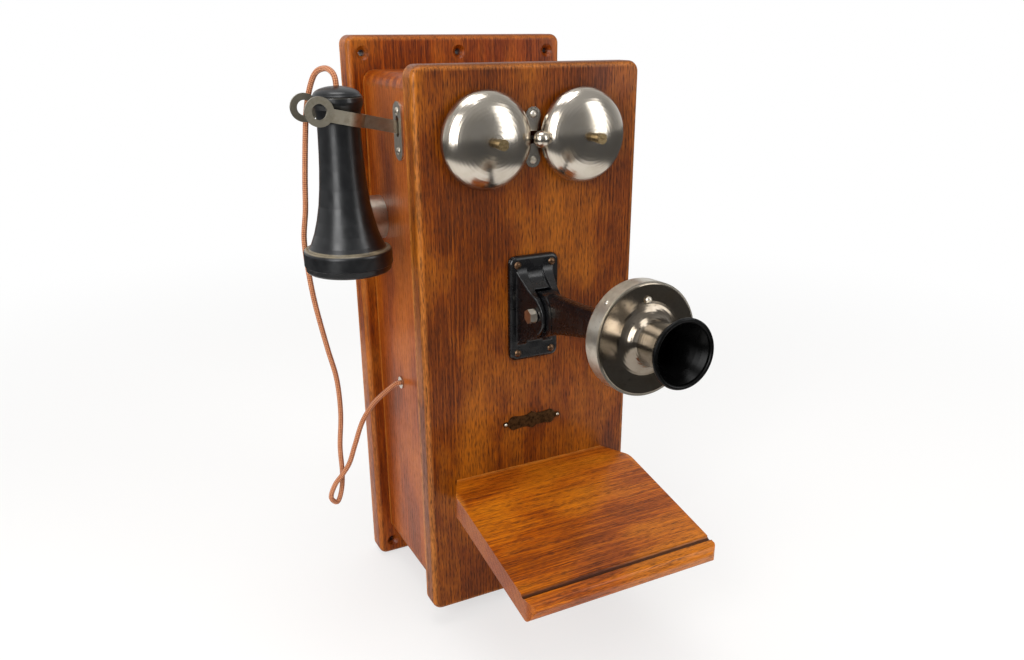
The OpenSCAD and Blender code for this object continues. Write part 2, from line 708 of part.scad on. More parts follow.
// Side view of the pocket: x out of the door, y up from the pivot
module pocket_profile() {
  translate([pivot_out, 0]) circle(pocket_r, $fn = 72);
  polygon([[0, 37], [6, 36], [12, 33], [19, 27.5], [pivot_out, pocket_r], [pivot_out, -pocket_r],
    [17, -24], [9, -28.5], [0, -31]]);
}
module arm_bracket() {
  color(japan) difference() {
    union() {
      on_door() translate([0, bracket_z, 0])
        rounded_board(bracket_w, bracket_h, bracket_t, 6, 3);
      translate([0, door_y, pivot_z]) rotate([90, 0, -90])
        linear_extrude(pocket_w, center = true) pocket_profile();
    }
    // room for the arm's knuckle between the cheeks
    translate([0, pivot_y, pivot_z]) rotate([0, 90, 0])
      cylinder(r = knuckle_arm_r + 3, h = arm_w + 2 * slack, center = true, $fn = 72);
    translate([-arm_w / 2 - slack, pivot_y - 60, pivot_z - 40])
      cube([arm_w + 2 * slack, 60 + pivot_out - bracket_t - 1, 40]);
    translate([-arm_w / 2 - slack, pivot_y - 60, pivot_z - 1])
      cube([arm_w + 2 * slack, 60, knuckle_arm_r + 14]);
    translate([0, pivot_y, pivot_z]) rotate([0, 90, 0])
      cylinder(d = pivot_d + 2 * fit, h = 60, center = true, $fn = 40);
    on_door() for (x = [-1, 1], y = [-1, 1])
      translate([x * screw_dx, bracket_z + y * screw_dz, -1]) cylinder(d = 3.8, h = bracket_t + 2, $fn = 32);
  }
}
module bracket_screws() {
  color("#7a5a3c") on_door() for (x = [-1, 1], y = [-1, 1])
    translate([x * screw_dx, bracket_z + y * screw_dz, bracket_t]) screw(6.4, 1.9, 3.4, bracket_t);
}
module pivot_bolt() {
  color(brass) translate([-pocket_w / 2, pivot_y, pivot_z]) rotate([0, -90, 0]) {
    translate([0, 0, 1]) cylinder(d = 12.4, h = 5, $fn = 6);
    cylinder(d = 12, h = 1 + eps, $fn = 40);
    translate([0, 0, -pocket_w - 6]) cylinder(d = pivot_d, h = pocket_w + 6 + eps, $fn = 40);
  }
}
module pivot_nut() {
  color(brass) translate([pocket_w / 2, pivot_y, pivot_z]) rotate([0, 90, 0]) difference() {
    cylinder(d = 12.4, h = 5, $fn = 6);
    translate([0, 0, -1]) cylinder(d = pivot_d + 2 * fit, h = 7, $fn = 40);
  }
}

// ---- transmitter arm and transmitter ---------------------------------------
// Frame on the arm: origin on the pivot, x out of the door, y up, z to the left
module on_pivot() translate([0, pivot_y, pivot_z]) rotate([90, 0, -90]) children();
back_y = pivot_y - arm_reach;
back_z = pivot_z + arm_rise;
// Frame of the transmitter: origin at the middle of its back, z along its axis
module on_back() translate([0, back_y, back_z]) rotate([90 - face_tilt, 0, 0]) children();
// One cross-section of the arm: centre, height, width and slope
function arm_section(u) = [
  [arm_reach * u * 0.97, arm_rise * pow(u, 0.75) - 2 * sin(180 * u)],
  38 - 20 * pow(u, 0.7),
  arm_w - 1 + 2 * u
];
module arm_slice(u) {
  s = arm_section(u);
  translate([s[0][0], s[0][1], 0]) rotate([0, 90, 8]) linear_extrude(0.5)
    scale([s[2] / 2, s[1] / 2]) polygon([for (a = [0:15:345])
      [sign(cos(a)) * pow(abs(cos(a)), 0.6), sign(sin(a)) * pow(abs(sin(a)), 0.6)]]);
}
module transmitter_arm() {
  color(japan) {
    on_pivot() difference() {
      union() {
        cylinder(r = knuckle_arm_r, h = arm_w, center = true, $fn = 72);
        for (u = [0.1:0.18:0.83]) hull() {
          arm_slice(u);
          arm_slice(u + 0.18);
        }
      }
      cylinder(d = pivot_d + 2 * fit, h = arm_w + 2, center = true, $fn = 40);
    }
    on_back() translate([0, 0, -4]) cylinder(r = 13, h = 4, $fn = 48);
  }
}
face_r = face_d / 2;
band_r = face_r + 1;
band_z = back_d + band_d;         // height of the faceplate's seat over the back
module transmitter_cup() {
  color(nickel) on_back() difference() {
    rotate_extrude($fn = 96) polygon(concat(
      [[0, 0], [16, 0]],
      arc([16, back_d - 1], back_d - 1, -90, -40, 5),
      [[band_r - 3, back_d - 3]],
      arc([band_r - 2, back_d - 1], 2, -90, 0, 4),
      [[band_r, band_z], [band_r - 1.4, band_z], [band_r - 1.4, back_d + 1],
       [band_r - 4, back_d - 1], [26, back_d - 6], [16, 2], [0, 2]]));
    for (a = band_angles) rotate([0, 0, a]) translate([band_r - 3, 0, back_d + band_d / 2])
      rotate([0, 90, 0]) cylinder(d = 2.2, h = 6, $fn = 24);
  }
}
band_angles = [15, 135, 255];     // 120 degrees apart round the band
plate_sheet = 0.2;                // back of the faceplate's flat, below the band's rim
neck_outer_r = 15;
flare_c = [27.5, 14];             // centre of the faceplate's flare in its half section
flare_r = 13;
module faceplate() {
  color(nickel) on_back() translate([0, 0, band_z]) difference() {
    rotate_extrude($fn = 96) polygon(concat(
      [[face_r - 1.6, -plate_sheet], [face_r - 1.6, -2.4], [face_r - 0.5, -2.4], [face_r - 0.4, 0.6],
       [face_r - 1, 0.95], [flare_c[0], 1]],
      arc(flare_c, flare_r, 268, 197, 9),
      [[neck_outer_r + fit, flare_c[1] - 3.8], [neck_outer_r + fit, flare_c[1] - 8]],
      arc(flare_c, flare_r + 1.2, 213, 268, 7)));
    translate([0, face_screw_at, -3]) cylinder(d = 3.2, h = 8, $fn = 24);
  }
}
face_screw_at = 28;               // distance of the face screw above the axis
module transmitter_screws() {
  color(brass) on_back() {
    for (a = band_angles) rotate([0, 0, a]) translate([band_r, 0, back_d + band_d / 2])
      rotate([0, 90, 0]) screw_head(3.6, 1.2);
    translate([0, face_screw_at, band_z + 1.2]) screw(5, 2.4, 3, 3.4);
  }
}
diaphragm_z = band_z - 3.5;       // back of the diaphragm, over the transmitter's back
diaphragm_t = 0.6;
bridge_reach = face_r - 6.5;
bridge_t = 3;
carbon_h = 6;
stem_h = 2;
module transmitter_diaphragm() {
  color("#c9c9c4") on_back() translate([0, 0, diaphragm_z])
    cylinder(r = bridge_reach - 6, h = diaphragm_t, $fn = 72);
}
module carbon_button() {
  color(brass) on_back() translate([0, 0, diaphragm_z - stem_h - carbon_h]) {
    cylinder(d = 26, h = carbon_h, $fn = 48);
    cylinder(d = 5, h = carbon_h + stem_h, $fn = 32);
  }
}
module button_bridge() {
  low = diaphragm_z - stem_h - carbon_h - bridge_t;
  color(brass) on_back() {
    translate([-bridge_reach, -6, low]) cube([2 * bridge_reach, 12, bridge_t]);
    for (s = [-1, 1]) translate([s * (bridge_reach - 2.5) - 2.5, -6, low])
      cube([5, 12, band_z - plate_sheet - low]);
  }
}
module mouthpiece_socket() {
  color(nickel) on_back() translate([0, 0, band_z]) rotate_extrude($fn = 72) polygon(concat(
    [[13, 2], [13, 11]],
    [for (i = [0:8]) let (t = i / 8) [13 + 6.2 * pow(t, 1.8), 14 + 22 * t]],
    [for (i = [8:-1:0]) let (t = i / 8) [15 + 5.8 * pow(t, 1.8), 12 + 24 * t]],
    [[15, 2]]));
}
mouth_r = mouth_d / 2;
grille_z = 10;
module mouthpiece() {
  color(rubber) on_back() translate([0, 0, band_z]) difference() {
    rotate_extrude($fn = 72) polygon(concat(
      [[0, grille_z - 2], [12.9, grille_z - 2], [12.9, 14]],
      [for (i = [0:8]) let (t = i / 8) [12.9 + 6.1 * pow(t, 1.8), 14 + 22.2 * t]],
      [[21.3, 36.2]],
      arc([mouth_r - 1.6, mouth_h - 1.6], 1.6, -60, 150, 8),
      [for (i = [8:-1:0]) let (t = i / 8) [9 + 12 * pow(t, 1.7), 12 + (mouth_h - 14.5) * t]],
      [[8, grille_z], [0, grille_z]]));
    for (a = [0:60:300]) rotate([0, 0, a]) translate([5, 0, grille_z - 4]) cylinder(d = 2.6, h = 8, $fn = 16);
    translate([0, 0, grille_z - 4]) cylinder(d = 2.6, h = 8, $fn = 16);
  }
}

// ---- receiver --------------------------------------------------------------
// Frame of the receiver: origin on its axis at the level of the fork
receiver_y = hook_y;
fork_z = hook_pivot_z + (hook_pivot_x - receiver_x) * tan(hook_slope);
module on_receiver() translate([receiver_x, receiver_y, fork_z]) children();
neck_r = neck_d / 2;
shell_low = -105.5;               // lower end of the shell, at the ear cap's seat
shell_points = [
  [neck_r + 2.8, 14.3], [neck_r + 3.4, 10.8], [neck_r + 3.0, 8.8], [neck_r + 1.3, 5.2],
  [neck_r + 0.4, 0.8], [neck_r, -4.2], [neck_r + 0.1, -14], [neck_r + 0.5, -28],
  [neck_r + 1.1, -40], [neck_r + 2.3, -55], [neck_r + 3.9, -68], [neck_r + 6.3, -80],
  [neck_r + 9, -90], [neck_r + 12.2, -98.5], [neck_r + 14.6, -102.6]
];
shell_t = 3;
shell_lip = 5;                    // width of the shell's lower end
module receiver_shell() {
  n = len(shell_points);
  low = shell_points[n - 1];
  color(rubber) on_receiver() rotate_extrude($fn = 72) polygon(concat(
    [[10, 14.3]], shell_points, [[low[0], shell_low], [low[0] - shell_lip, shell_low]],
    [for (i = [n - 2:-1:6]) [shell_points[i][0] - shell_t, shell_points[i][1] - 1.5]],
    [[neck_r - shell_t - 0.5, -8], [10, 6]]));
}
tail_r = neck_r + 1.6;
tail_h = 8;
module tail_cap() {
  color(rubber) on_receiver() translate([0, 0, 14.3]) difference() {
    rotate_extrude($fn = 72) polygon(concat([[0, 0], [tail_r, 0], [tail_r + 0.6, 0.8]],
      [for (i = [1:10]) let (a = 90 * i / 10) [tail_r * cos(a), 0.8 + (tail_h - 0.8) * sin(a)]]));
    translate([0, 0, -1]) cylinder(d = cord_d + 2 * slack, h = tail_h + 4, $fn = 32);
  }
}
ear_h = 16;
ear_ledge = 2.5;                  // depth of the diaphragm's ledge in the ear cap
ear_r = ear_d / 2;
shell_low_r = neck_r + 14.6;
module ear_cap() {
  color(rubber) on_receiver() translate([0, 0, shell_low]) difference() {
    rotate_extrude($fn = 96) polygon(concat(
      [[0, -ear_h + 5], [7, -ear_h + 4.4], [20, -ear_h + 1.6], [ear_r - 6, -ear_h + 0.2], [ear_r - 4, -ear_h]],
      arc([ear_r - 4, -ear_h + 3], 3, -90, -20, 5),
      [[ear_r - 0.7, -ear_h + 5.6], [ear_r, -ear_h + 6.2]],
      arc([ear_r - 3, 0], 3, 0, 90, 6),
      [[shell_low_r + fit, 3], [shell_low_r + fit, 0], [shell_low_r - shell_lip, 0],
       [shell_low_r - shell_lip, -ear_ledge], [shell_low_r - 8, -ear_ledge],
       [shell_low_r - 8, -5.4], [0, -8]]));
    translate([0, 0, -ear_h]) cylinder(r = 6, h = ear_h, $fn = 40);
  }
}
module receiver_diaphragm() {
  color(steel) on_receiver() translate([0, 0, shell_low - ear_ledge])
    cylinder(r = shell_low_r - shell_lip - 0.2, h = 0.5, $fn = 56);
}
pole_x = 6.5;
pole_w = 4;
pole_d = 11;
pole_low = shell_low - ear_ledge + 1.1;    // pole tips, just clear of the diaphragm
magnet_top = -8;
module receiver_magnet() {
  color("#3a3c40") on_receiver() {
    for (s = [-1, 1]) translate([s * pole_x - pole_w / 2, -pole_d / 2, pole_low])
      cube([pole_w, pole_d, magnet_top - 1 - pole_low]);
    translate([0, 0, magnet_top - 3]) cylinder(r = neck_r - shell_t - 0.5 - fit, h = 3, $fn = 48);
  }
}
module receiver_coils() {
  color("#7a3a26") on_receiver() for (s = [-1, 1]) translate([s * pole_x, 0, pole_low + 9])
    difference() {
      cube([9, 18, 14], center = true);
      cube([pole_w + 2 * fit, pole_d + 2 * fit, 16], center = true);
    }
}

// ---- receiver cord ---------------------------------------------------------
// Middle line of the cord: its upper points from the receiver's origin, the rest from the grommet
cord_top = [
  [0, 0, 15], [0, 0, 25.4], [-1, 3, 31.4], [-4, 11, 34.4], [-9, 20, 31.4], [-13, 25, 21.4],
  [-17, 27, 4.4], [-20, 27, -18.6], [-23, 27, -48.6], [-25, 27, -74.6], [-28, 28, -98.6],
  [-27, 28, -124.6], [-24, 27, -154.6]
];
cord_low = [
  [-66, 0.5, 45], [-60, 0.5, 14], [-59, 0.5, -19], [-62, 0.5, -51], [-62, 0.5, -77],
  [-64, 0.5, -95], [-69, -0.5, -106], [-75, -2.5, -99], [-71, -4.5, -86], [-63, -5.5, -76],
  [-56, -5.5, -66], [-49, -3.5, -50], [-40, -1.5, -30], [-28, -0.5, -15], [-14, 0, -5],
  [-6, 0, -0.5], [-1.1, 0, 0]
];
cord_points = concat(
  [for (p = cord_top) p + [receiver_x, receiver_y, fork_z]],
  [for (p = cord_low) p + [side_x, board_y - grommet_from_board, grommet_z]]);
cord_steps = 2;
// Catmull-Rom point between p1 and p2
function spline(p0, p1, p2, p3, t) =
  0.5 * (2 * p1 + (p2 - p0) * t + (2 * p0 - 5 * p1 + 4 * p2 - p3) * t * t
         + (3 * p1 - p0 - 3 * p2 + p3) * t * t * t);
function near(list, i) = list[max(0, min(len(list) - 1, i))];
function smooth(list, steps) = concat(
  [for (i = [0:len(list) - 2], k = [0:steps - 1])
    spline(near(list, i - 1), list[i], list[i + 1], near(list, i + 2), k / steps)],
  [list[len(list) - 1]]);
function unit(v) = v / norm(v);
function heading(path, i) = unit(near(path, i + 1) - near(path, i - 1));
// Direction square to the middle line at each of its points, carried along without twist
function side_dirs(path) = [
  for (i = 0, a = unit(cross(heading(path, 0), [0.3, 1, 0.2])); i < len(path);
       i = i + 1, a = i < len(path) ? unit(a - (a * heading(path, i)) * heading(path, i)) : a) a];
module tube(path, r, sides) {
  n = len(path);
  dirs = side_dirs(path);
  points = [for (i = [0:n - 1], k = [0:sides - 1])
    path[i] + r * (cos(360 * k / sides) * dirs[i]
                   + sin(360 * k / sides) * cross(heading(path, i), dirs[i]))];
  walls = [for (i = [0:n - 2], k = [0:sides - 1])
    let (a = i * sides + k, b = i * sides + (k + 1) % sides) [a, a + sides, b + sides, b]];
  ends = [[for (k = [0:sides - 1]) k], [for (k = [sides - 1:-1:0]) (n - 1) * sides + k]];
  polyhedron(points, concat(walls, ends));
}
module receiver_cord() {
  color("#a96b46") tube(smooth(cord_points, cord_steps), cord_d / 2, 8);
}

// ---- shelf and badge -------------------------------------------------------
shelf_drop = tan(shelf_slope);
nose_r = 7;
groove_r = 3;
groove_from_nose = 12;
// Side view of the shelf: x out of the door, y up from its top edge
module shelf_profile() {
  x1 = shelf_reach - nose_r;
  top_y = -(x1 - shelf_level) * shelf_drop;
  difference() {
    union() {
      polygon(concat([[0, 0]],
        arc([shelf_level - 3, -30], 30, 90, 90 - shelf_slope, 4),
        [[x1 + 1, top_y - 0.5]],
        arc([x1, top_y - nose_r], nose_r, 80, -10, 6),
        arc([x1 - 2, top_y - shelf_t + nose_r + 1], nose_r, -30, -100, 5),
        [[shelf_level, -shelf_t], [0, -shelf_t]]));
    }
    translate([shelf_reach - groove_from_nose, -(shelf_reach - groove_from_nose - shelf_level) * shelf_drop + 0.8])
      circle(groove_r, $fn = 32);
  }
}
// Plan of the shelf: x across, y out of the door
module shelf_plan() {
  w = shelf_w / 2;
  root = shelf_root_w / 2;
  c = 7;
  right = concat([[root, 0]], arc([w - 14, 30], 14, -35, 0, 5), arc([w - c, shelf_reach - c], c, 0, 90, 6));
  left = [for (i = [len(right) - 1:-1:0]) [-right[i][0], right[i][1]]];
  polygon(concat(right, left));
}
module shelf() {
  color(oak) translate([0, door_y, shelf_z]) intersection() {
    rotate([90, 0, 90]) mirror([1, 0, 0]) linear_extrude(shelf_w + 2, center = true) shelf_profile();
    mirror([0, 1, 0]) translate([0, 0, -90]) linear_extrude(120) shelf_plan();
  }
}
badge_w = 57;
badge_h = 14;
badge_z = -64.5;
badge_t = 1;
badge_pin_x = badge_w / 2 - 2.4;
// One quarter of the badge's outline, from its right end to the middle of its top
badge_quarter = concat(
  arc([badge_pin_x, 0], 2.4, 0, 110, 5),
  [[badge_w / 2 - 5.5, 2]],
  arc([badge_w / 2 - 12, 0], badge_h / 2, 22, 70, 5),
  [[badge_w / 2 - 17, badge_h / 2 - 1.6], [5, badge_h / 2 - 1.6], [0, badge_h / 2 + 1]]);
badge_half = concat(badge_quarter,
  [for (i = [len(badge_quarter) - 2:-1:0]) [-badge_quarter[i][0], badge_quarter[i][1]]]);
module badge_plate() {
  color("#4a3c2c") on_door() translate([0, badge_z, 0]) linear_extrude(badge_t) difference() {
    polygon(concat(badge_half, [for (i = [len(badge_half) - 2:-1:1]) [badge_half[i][0], -badge_half[i][1]]]));
    for (s = [-1, 1]) translate([s * badge_pin_x, 0]) circle(d = 1.6, $fn = 20);
  }
}
module badge_pins() {
  color(brass) on_door() for (s = [-1, 1]) translate([s * badge_pin_x, badge_z, badge_t])
    screw_head(2.8, 1);
}

backboard();
side_left();
side_right();
top_panel();
bottom_panel();
hook_plate();
hook_plate_screws();
switch_bracket();
hook_pivot_pin();
switch_springs();
button_shell();
cord_grommet();
hinge_leaves_case();
hinge_pins();
terminal_block();
terminal_screws();
induction_coil();
condenser();
door_panel();
hinge_leaves_door();
gong_left();
gong_right();
gong_posts();
clapper_plate();
clapper_plate_screws();
ringer_frame();
ringer_coils();
ringer_magnet();
arm_bracket();
bracket_screws();
pivot_bolt();
pivot_nut();
shelf();
badge_plate();
badge_pins();
clapper_armature();
clapper_rod();
clapper_ball();
transmitter_arm();
transmitter_cup();
faceplate();
transmitter_screws();
transmitter_diaphragm();
carbon_button();
button_bridge();
mouthpiece_socket();
mouthpiece();
receiver_shell();
tail_cap();
ear_cap();
receiver_diaphragm();
receiver_magnet();
receiver_coils();
receiver_cord();
hook_lever();
button_plunger();
button_spring();
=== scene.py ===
import math
import bpy
import numpy as np
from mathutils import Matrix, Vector


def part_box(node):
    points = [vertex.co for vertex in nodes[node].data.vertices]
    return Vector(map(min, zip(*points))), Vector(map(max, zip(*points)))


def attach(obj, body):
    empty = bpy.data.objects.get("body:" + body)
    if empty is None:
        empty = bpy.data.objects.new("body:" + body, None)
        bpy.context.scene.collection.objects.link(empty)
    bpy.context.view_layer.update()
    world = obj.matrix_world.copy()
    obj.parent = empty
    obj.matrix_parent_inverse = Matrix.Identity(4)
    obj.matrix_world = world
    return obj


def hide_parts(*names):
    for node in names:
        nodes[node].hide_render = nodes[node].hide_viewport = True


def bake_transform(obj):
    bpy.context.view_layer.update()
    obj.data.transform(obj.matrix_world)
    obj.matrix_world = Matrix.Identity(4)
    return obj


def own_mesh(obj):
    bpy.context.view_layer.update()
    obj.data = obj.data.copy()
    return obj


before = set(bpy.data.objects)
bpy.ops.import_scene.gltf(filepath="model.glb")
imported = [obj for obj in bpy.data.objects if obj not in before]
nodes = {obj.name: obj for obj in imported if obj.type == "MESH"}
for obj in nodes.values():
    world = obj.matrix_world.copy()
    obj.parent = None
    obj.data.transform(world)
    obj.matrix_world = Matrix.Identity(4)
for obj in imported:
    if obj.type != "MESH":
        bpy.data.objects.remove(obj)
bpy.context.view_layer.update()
mm = 0.001
print("frame loaded:", len(nodes), "nodes")

cameraFacts = {
    "place": (-0.3411, -0.79444, 0.26381),
    "turn": -27.77,      # degrees round the object, from straight in front
    "look": 21.39,       # degrees down
    "lens": 31.06,
    "sensor": 36,
    "shift": (-0.0123, 0.0401),
    "clip": (0.01, 100),
}


def makeCamera(facts):
    data = bpy.data.cameras.new("camera")
    data.lens = facts["lens"]
    data.sensor_width = facts["sensor"]
    data.shift_x, data.shift_y = facts["shift"]
    data.clip_start, data.clip_end = facts["clip"]
    camera = bpy.data.objects.new("camera", data)
    bpy.context.scene.collection.objects.link(camera)
    camera.location = facts["place"]
    camera.rotation_euler = (math.radians(90 - facts["look"]), 0, math.radians(facts["turn"]))
    bpy.context.scene.camera = camera


makeCamera(cameraFacts)
print("camera made")


# A grid of points, shape (rows, columns, 3), joined by quads; closed joins the last column to the first.
# uv holds a texture coordinate for each column, with one more where the grid is closed, and for each row.
def gridMesh(name, points, closed=False, uv=None):
    rows, columns = points.shape[:2]
    r, c = np.meshgrid(np.arange(rows - 1), np.arange(columns if closed else columns - 1), indexing="ij")
    left, right = r * columns + c, r * columns + (c + 1) % columns
    quads = np.stack([left, right, right + columns, left + columns], -1).reshape(-1, 4)
    mesh = bpy.data.meshes.new(name)
    mesh.vertices.add(rows * columns)
    mesh.vertices.foreach_set("co", points.reshape(-1).astype(np.float32))
    mesh.loops.add(quads.size)
    mesh.loops.foreach_set("vertex_index", quads.reshape(-1).astype(np.int32))
    mesh.polygons.add(len(quads))
    mesh.polygons.foreach_set("loop_start", np.arange(0, quads.size, 4, dtype=np.int32))
    mesh.polygons.foreach_set("use_smooth", np.ones(len(quads), bool))
    if uv is not None:
        u, v = uv
        corners = [(c, r), (c + 1, r), (c + 1, r + 1), (c, r + 1)]
        places = np.stack([np.stack([u[column], v[row]], -1) for column, row in corners], 2)
        layer = mesh.uv_layers.new(name="UVMap")
        layer.data.foreach_set("uv", places.reshape(-1).astype(np.float32))
    mesh.update()
    piece = bpy.data.objects.new(name, mesh)
    bpy.context.scene.collection.objects.link(piece)
    return piece


# The length of the line from its first point to each point.
def lengthAlong(line):
    return np.r_[0, np.cumsum(np.linalg.norm(np.diff(line, axis=0), axis=1))]


# A Catmull-Rom curve through the points: between b and c, with a before and d after, it is half of
# 2b + (c-a)t + (2a-5b+4c-d)t^2 + (3b-a-3c+d)t^3. It is then spaced evenly along its length.
def smoothLine(points, spacing, perSpan=24):
    p = np.asarray(points, float)
    padded = np.vstack([2 * p[0] - p[1], p, 2 * p[-1] - p[-2]])
    t = np.linspace(0, 1, perSpan, endpoint=False)[:, None]
    spans = []
    for a, b, c, d in zip(padded, padded[1:], padded[2:], padded[3:]):
        squared = (2 * a - 5 * b + 4 * c - d) * t ** 2
        cubed = (3 * b - a - 3 * c + d) * t ** 3
        spans.append(0.5 * (2 * b + (c - a) * t + squared + cubed))
    line = np.vstack(spans + [p[-1:]])
    run = lengthAlong(line)
    even = np.linspace(0, run[-1], max(2, int(run[-1] / spacing)))
    return np.stack([np.interp(even, run, line[:, k]) for k in range(3)], 1)


# Two directions square to the line at each point, the first carried along it without twist.
def carriedFrames(line):
    heading = np.gradient(line, axis=0)
    heading /= np.linalg.norm(heading, axis=1)[:, None]
    side = np.cross(heading[0], [0.3, 1.0, 0.2])   # square to the first heading, whichever way that is
    sides = []
    for h in heading:
        side = side - (side @ h) * h
        side = side / np.linalg.norm(side)
        sides.append(side)
    sides = np.array(sides)
    return sides, np.cross(heading, sides)


# A tube: each ring is the line's point + radius (cos(angle) side + sin(angle) other), and the end rings
# shrink to the line's own ends.
def tubeSurface(line, radius, angle):
    side, other = carriedFrames(line)
    ring = np.cos(angle)[None, :, None] * side[:, None, :] + np.sin(angle)[None, :, None] * other[:, None, :]
    first, last = (np.repeat(end[None, None, :], len(angle), axis=1) for end in (line[0], line[-1]))
    return np.concatenate([first, line[:, None, :] + radius * ring, last], axis=0)


cordFacts = {
    "diameter": 4.6 * mm,
    "receiver": (-0.140, -0.105, 0.198637),   # receiver's origin, at the level of the fork
    "grommet": (-0.091, -0.0785, -0.041),
    "top": [(0, 0, 15), (0, 0, 25.4), (-1, 3, 31.4), (-4, 11, 34.4), (-9, 20, 31.4), (-13, 25, 21.4),
            (-17, 27, 4.4), (-20, 27, -18.6), (-23, 27, -48.6), (-25, 27, -74.6), (-28, 28, -98.6),
            (-27, 28, -124.6), (-24, 27, -154.6)],      # mm from the receiver's origin
    "low": [(-66, 0.5, 45), (-60, 0.5, 14), (-59, 0.5, -19), (-62, 0.5, -51), (-62, 0.5, -77),
            (-64, 0.5, -95), (-69, -0.5, -106), (-75, -2.5, -99), (-71, -4.5, -86), (-63, -5.5, -76),
            (-56, -5.5, -66), (-49, -3.5, -50), (-40, -1.5, -30), (-28, -0.5, -15), (-14, 0, -5),
            (-6, 0, -0.5), (-1.1, 0, 0)],               # mm from the grommet
    "spacing": 0.7 * mm,
    "around": 20,
    "strands": 8,        # yarns that run each way round the braid
    "braidPitch": 13,    # mm along the cord for one turn of a yarn
    "relief": 0.05,      # height of the yarns' crowns, as a share of the radius
}


# A tube of radius R (1 - relief + relief c) along the line, where two families of yarns cross and
# c = 0.5 + 0.5 sin(k (angle + turn)) sin(k (angle - turn)), with k half the number of strands.
def makeCord(facts):
    top = np.array(facts["top"]) * mm + facts["receiver"]
    low = np.array(facts["low"]) * mm + facts["grommet"]
    line = smoothLine(np.vstack([top, low]), facts["spacing"])
    run = lengthAlong(line)
    angle = np.linspace(0, 2 * math.pi, facts["around"], endpoint=False)
    turn = run[:, None] / (facts["braidPitch"] * mm) * 2 * math.pi
    k = facts["strands"] / 2
    crown = 0.5 + 0.5 * np.sin(k * (angle[None, :] + turn)) * np.sin(k * (angle[None, :] - turn))
    radius = facts["diameter"] / 2 * (1 - facts["relief"] + facts["relief"] * crown)
    surface = tubeSurface(line, radius[:, :, None], angle)
    runs = np.r_[0, run, run[-1]]
    piece = gridMesh("cottonCord", surface, closed=True, uv=(np.linspace(0, 1, len(angle) + 1), runs / mm))
    return piece, line, run[-1]


cottonCord, cordLine, cordLength = makeCord(cordFacts)
print("cord made, length", round(cordLength, 4))
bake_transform(cottonCord)
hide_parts("receiver_cord")


# The cast bracket on the door that carries the arm, in mm; "up" is measured from the pivot's level.
bracketFacts = {
    "pivot": (-187.0, 42.0),         # depth and height of the pivot
    "doorFace": -160.0,
    "halfSize": (23.0, 45.5),
    "middleUp": -1.0,
    "plate": 5.0,
    "corner": 6.5,
    "rim": 3.0,                      # rounding of the plate's front edge
    "ridge": [(46, -14), (40, -6), (35, 0.5), (30, 6.5), (25, 12), (21, 17), (17.6, 22), (13.8, 29),
              (8, 34.6), (2, 37.4), (-4, 38), (-10, 36.4), (-15.5, 32), (-20, 25), (-24, 17), (-28, 9),
              (-32, 1), (-38, -10), (-48, -24)],   # up, and height over the door, along the middle
    "bossHalf": 12.5,                # half width of the casting level with the pivot
    "flare": 0.19,                   # how fast it widens towards the door
    "slotHalf": 7.3,                 # half width of the slot for the arm
    "slotWall": 0.6,                 # width over which the slot's walls rise
    "slotFloor": 3.0,                # least height of the slot's floor in front of the knuckle
    "knuckle": 21.5,                 # radius cut out round the pivot
    "valley": 4.0,                   # depth of the slot under the ridge elsewhere
    "flowing": 5.0,                  # width of the join between body and plate
    "rounded": 3.5,                  # width of the join between the ridge and the walls
    "crisp": 0.6,                    # width of the join between the slot's floor and the circle
}


# The lesser of a and b, with the join rounded over the width k.
def softLesser(a, b, k):
    t = np.clip(0.5 + 0.5 * (b - a) / k, 0, 1)
    return b * (1 - t) + a * t - k * t * (1 - t)


def softGreater(a, b, k):
    return -softLesser(-a, -b, k)


# Rows or columns of a grid, from runs of (first, last, count), so that they can lie closer at a bend.
def joinedRuns(*runs):
    return np.concatenate([np.linspace(first, last, count) for first, last, count in runs])


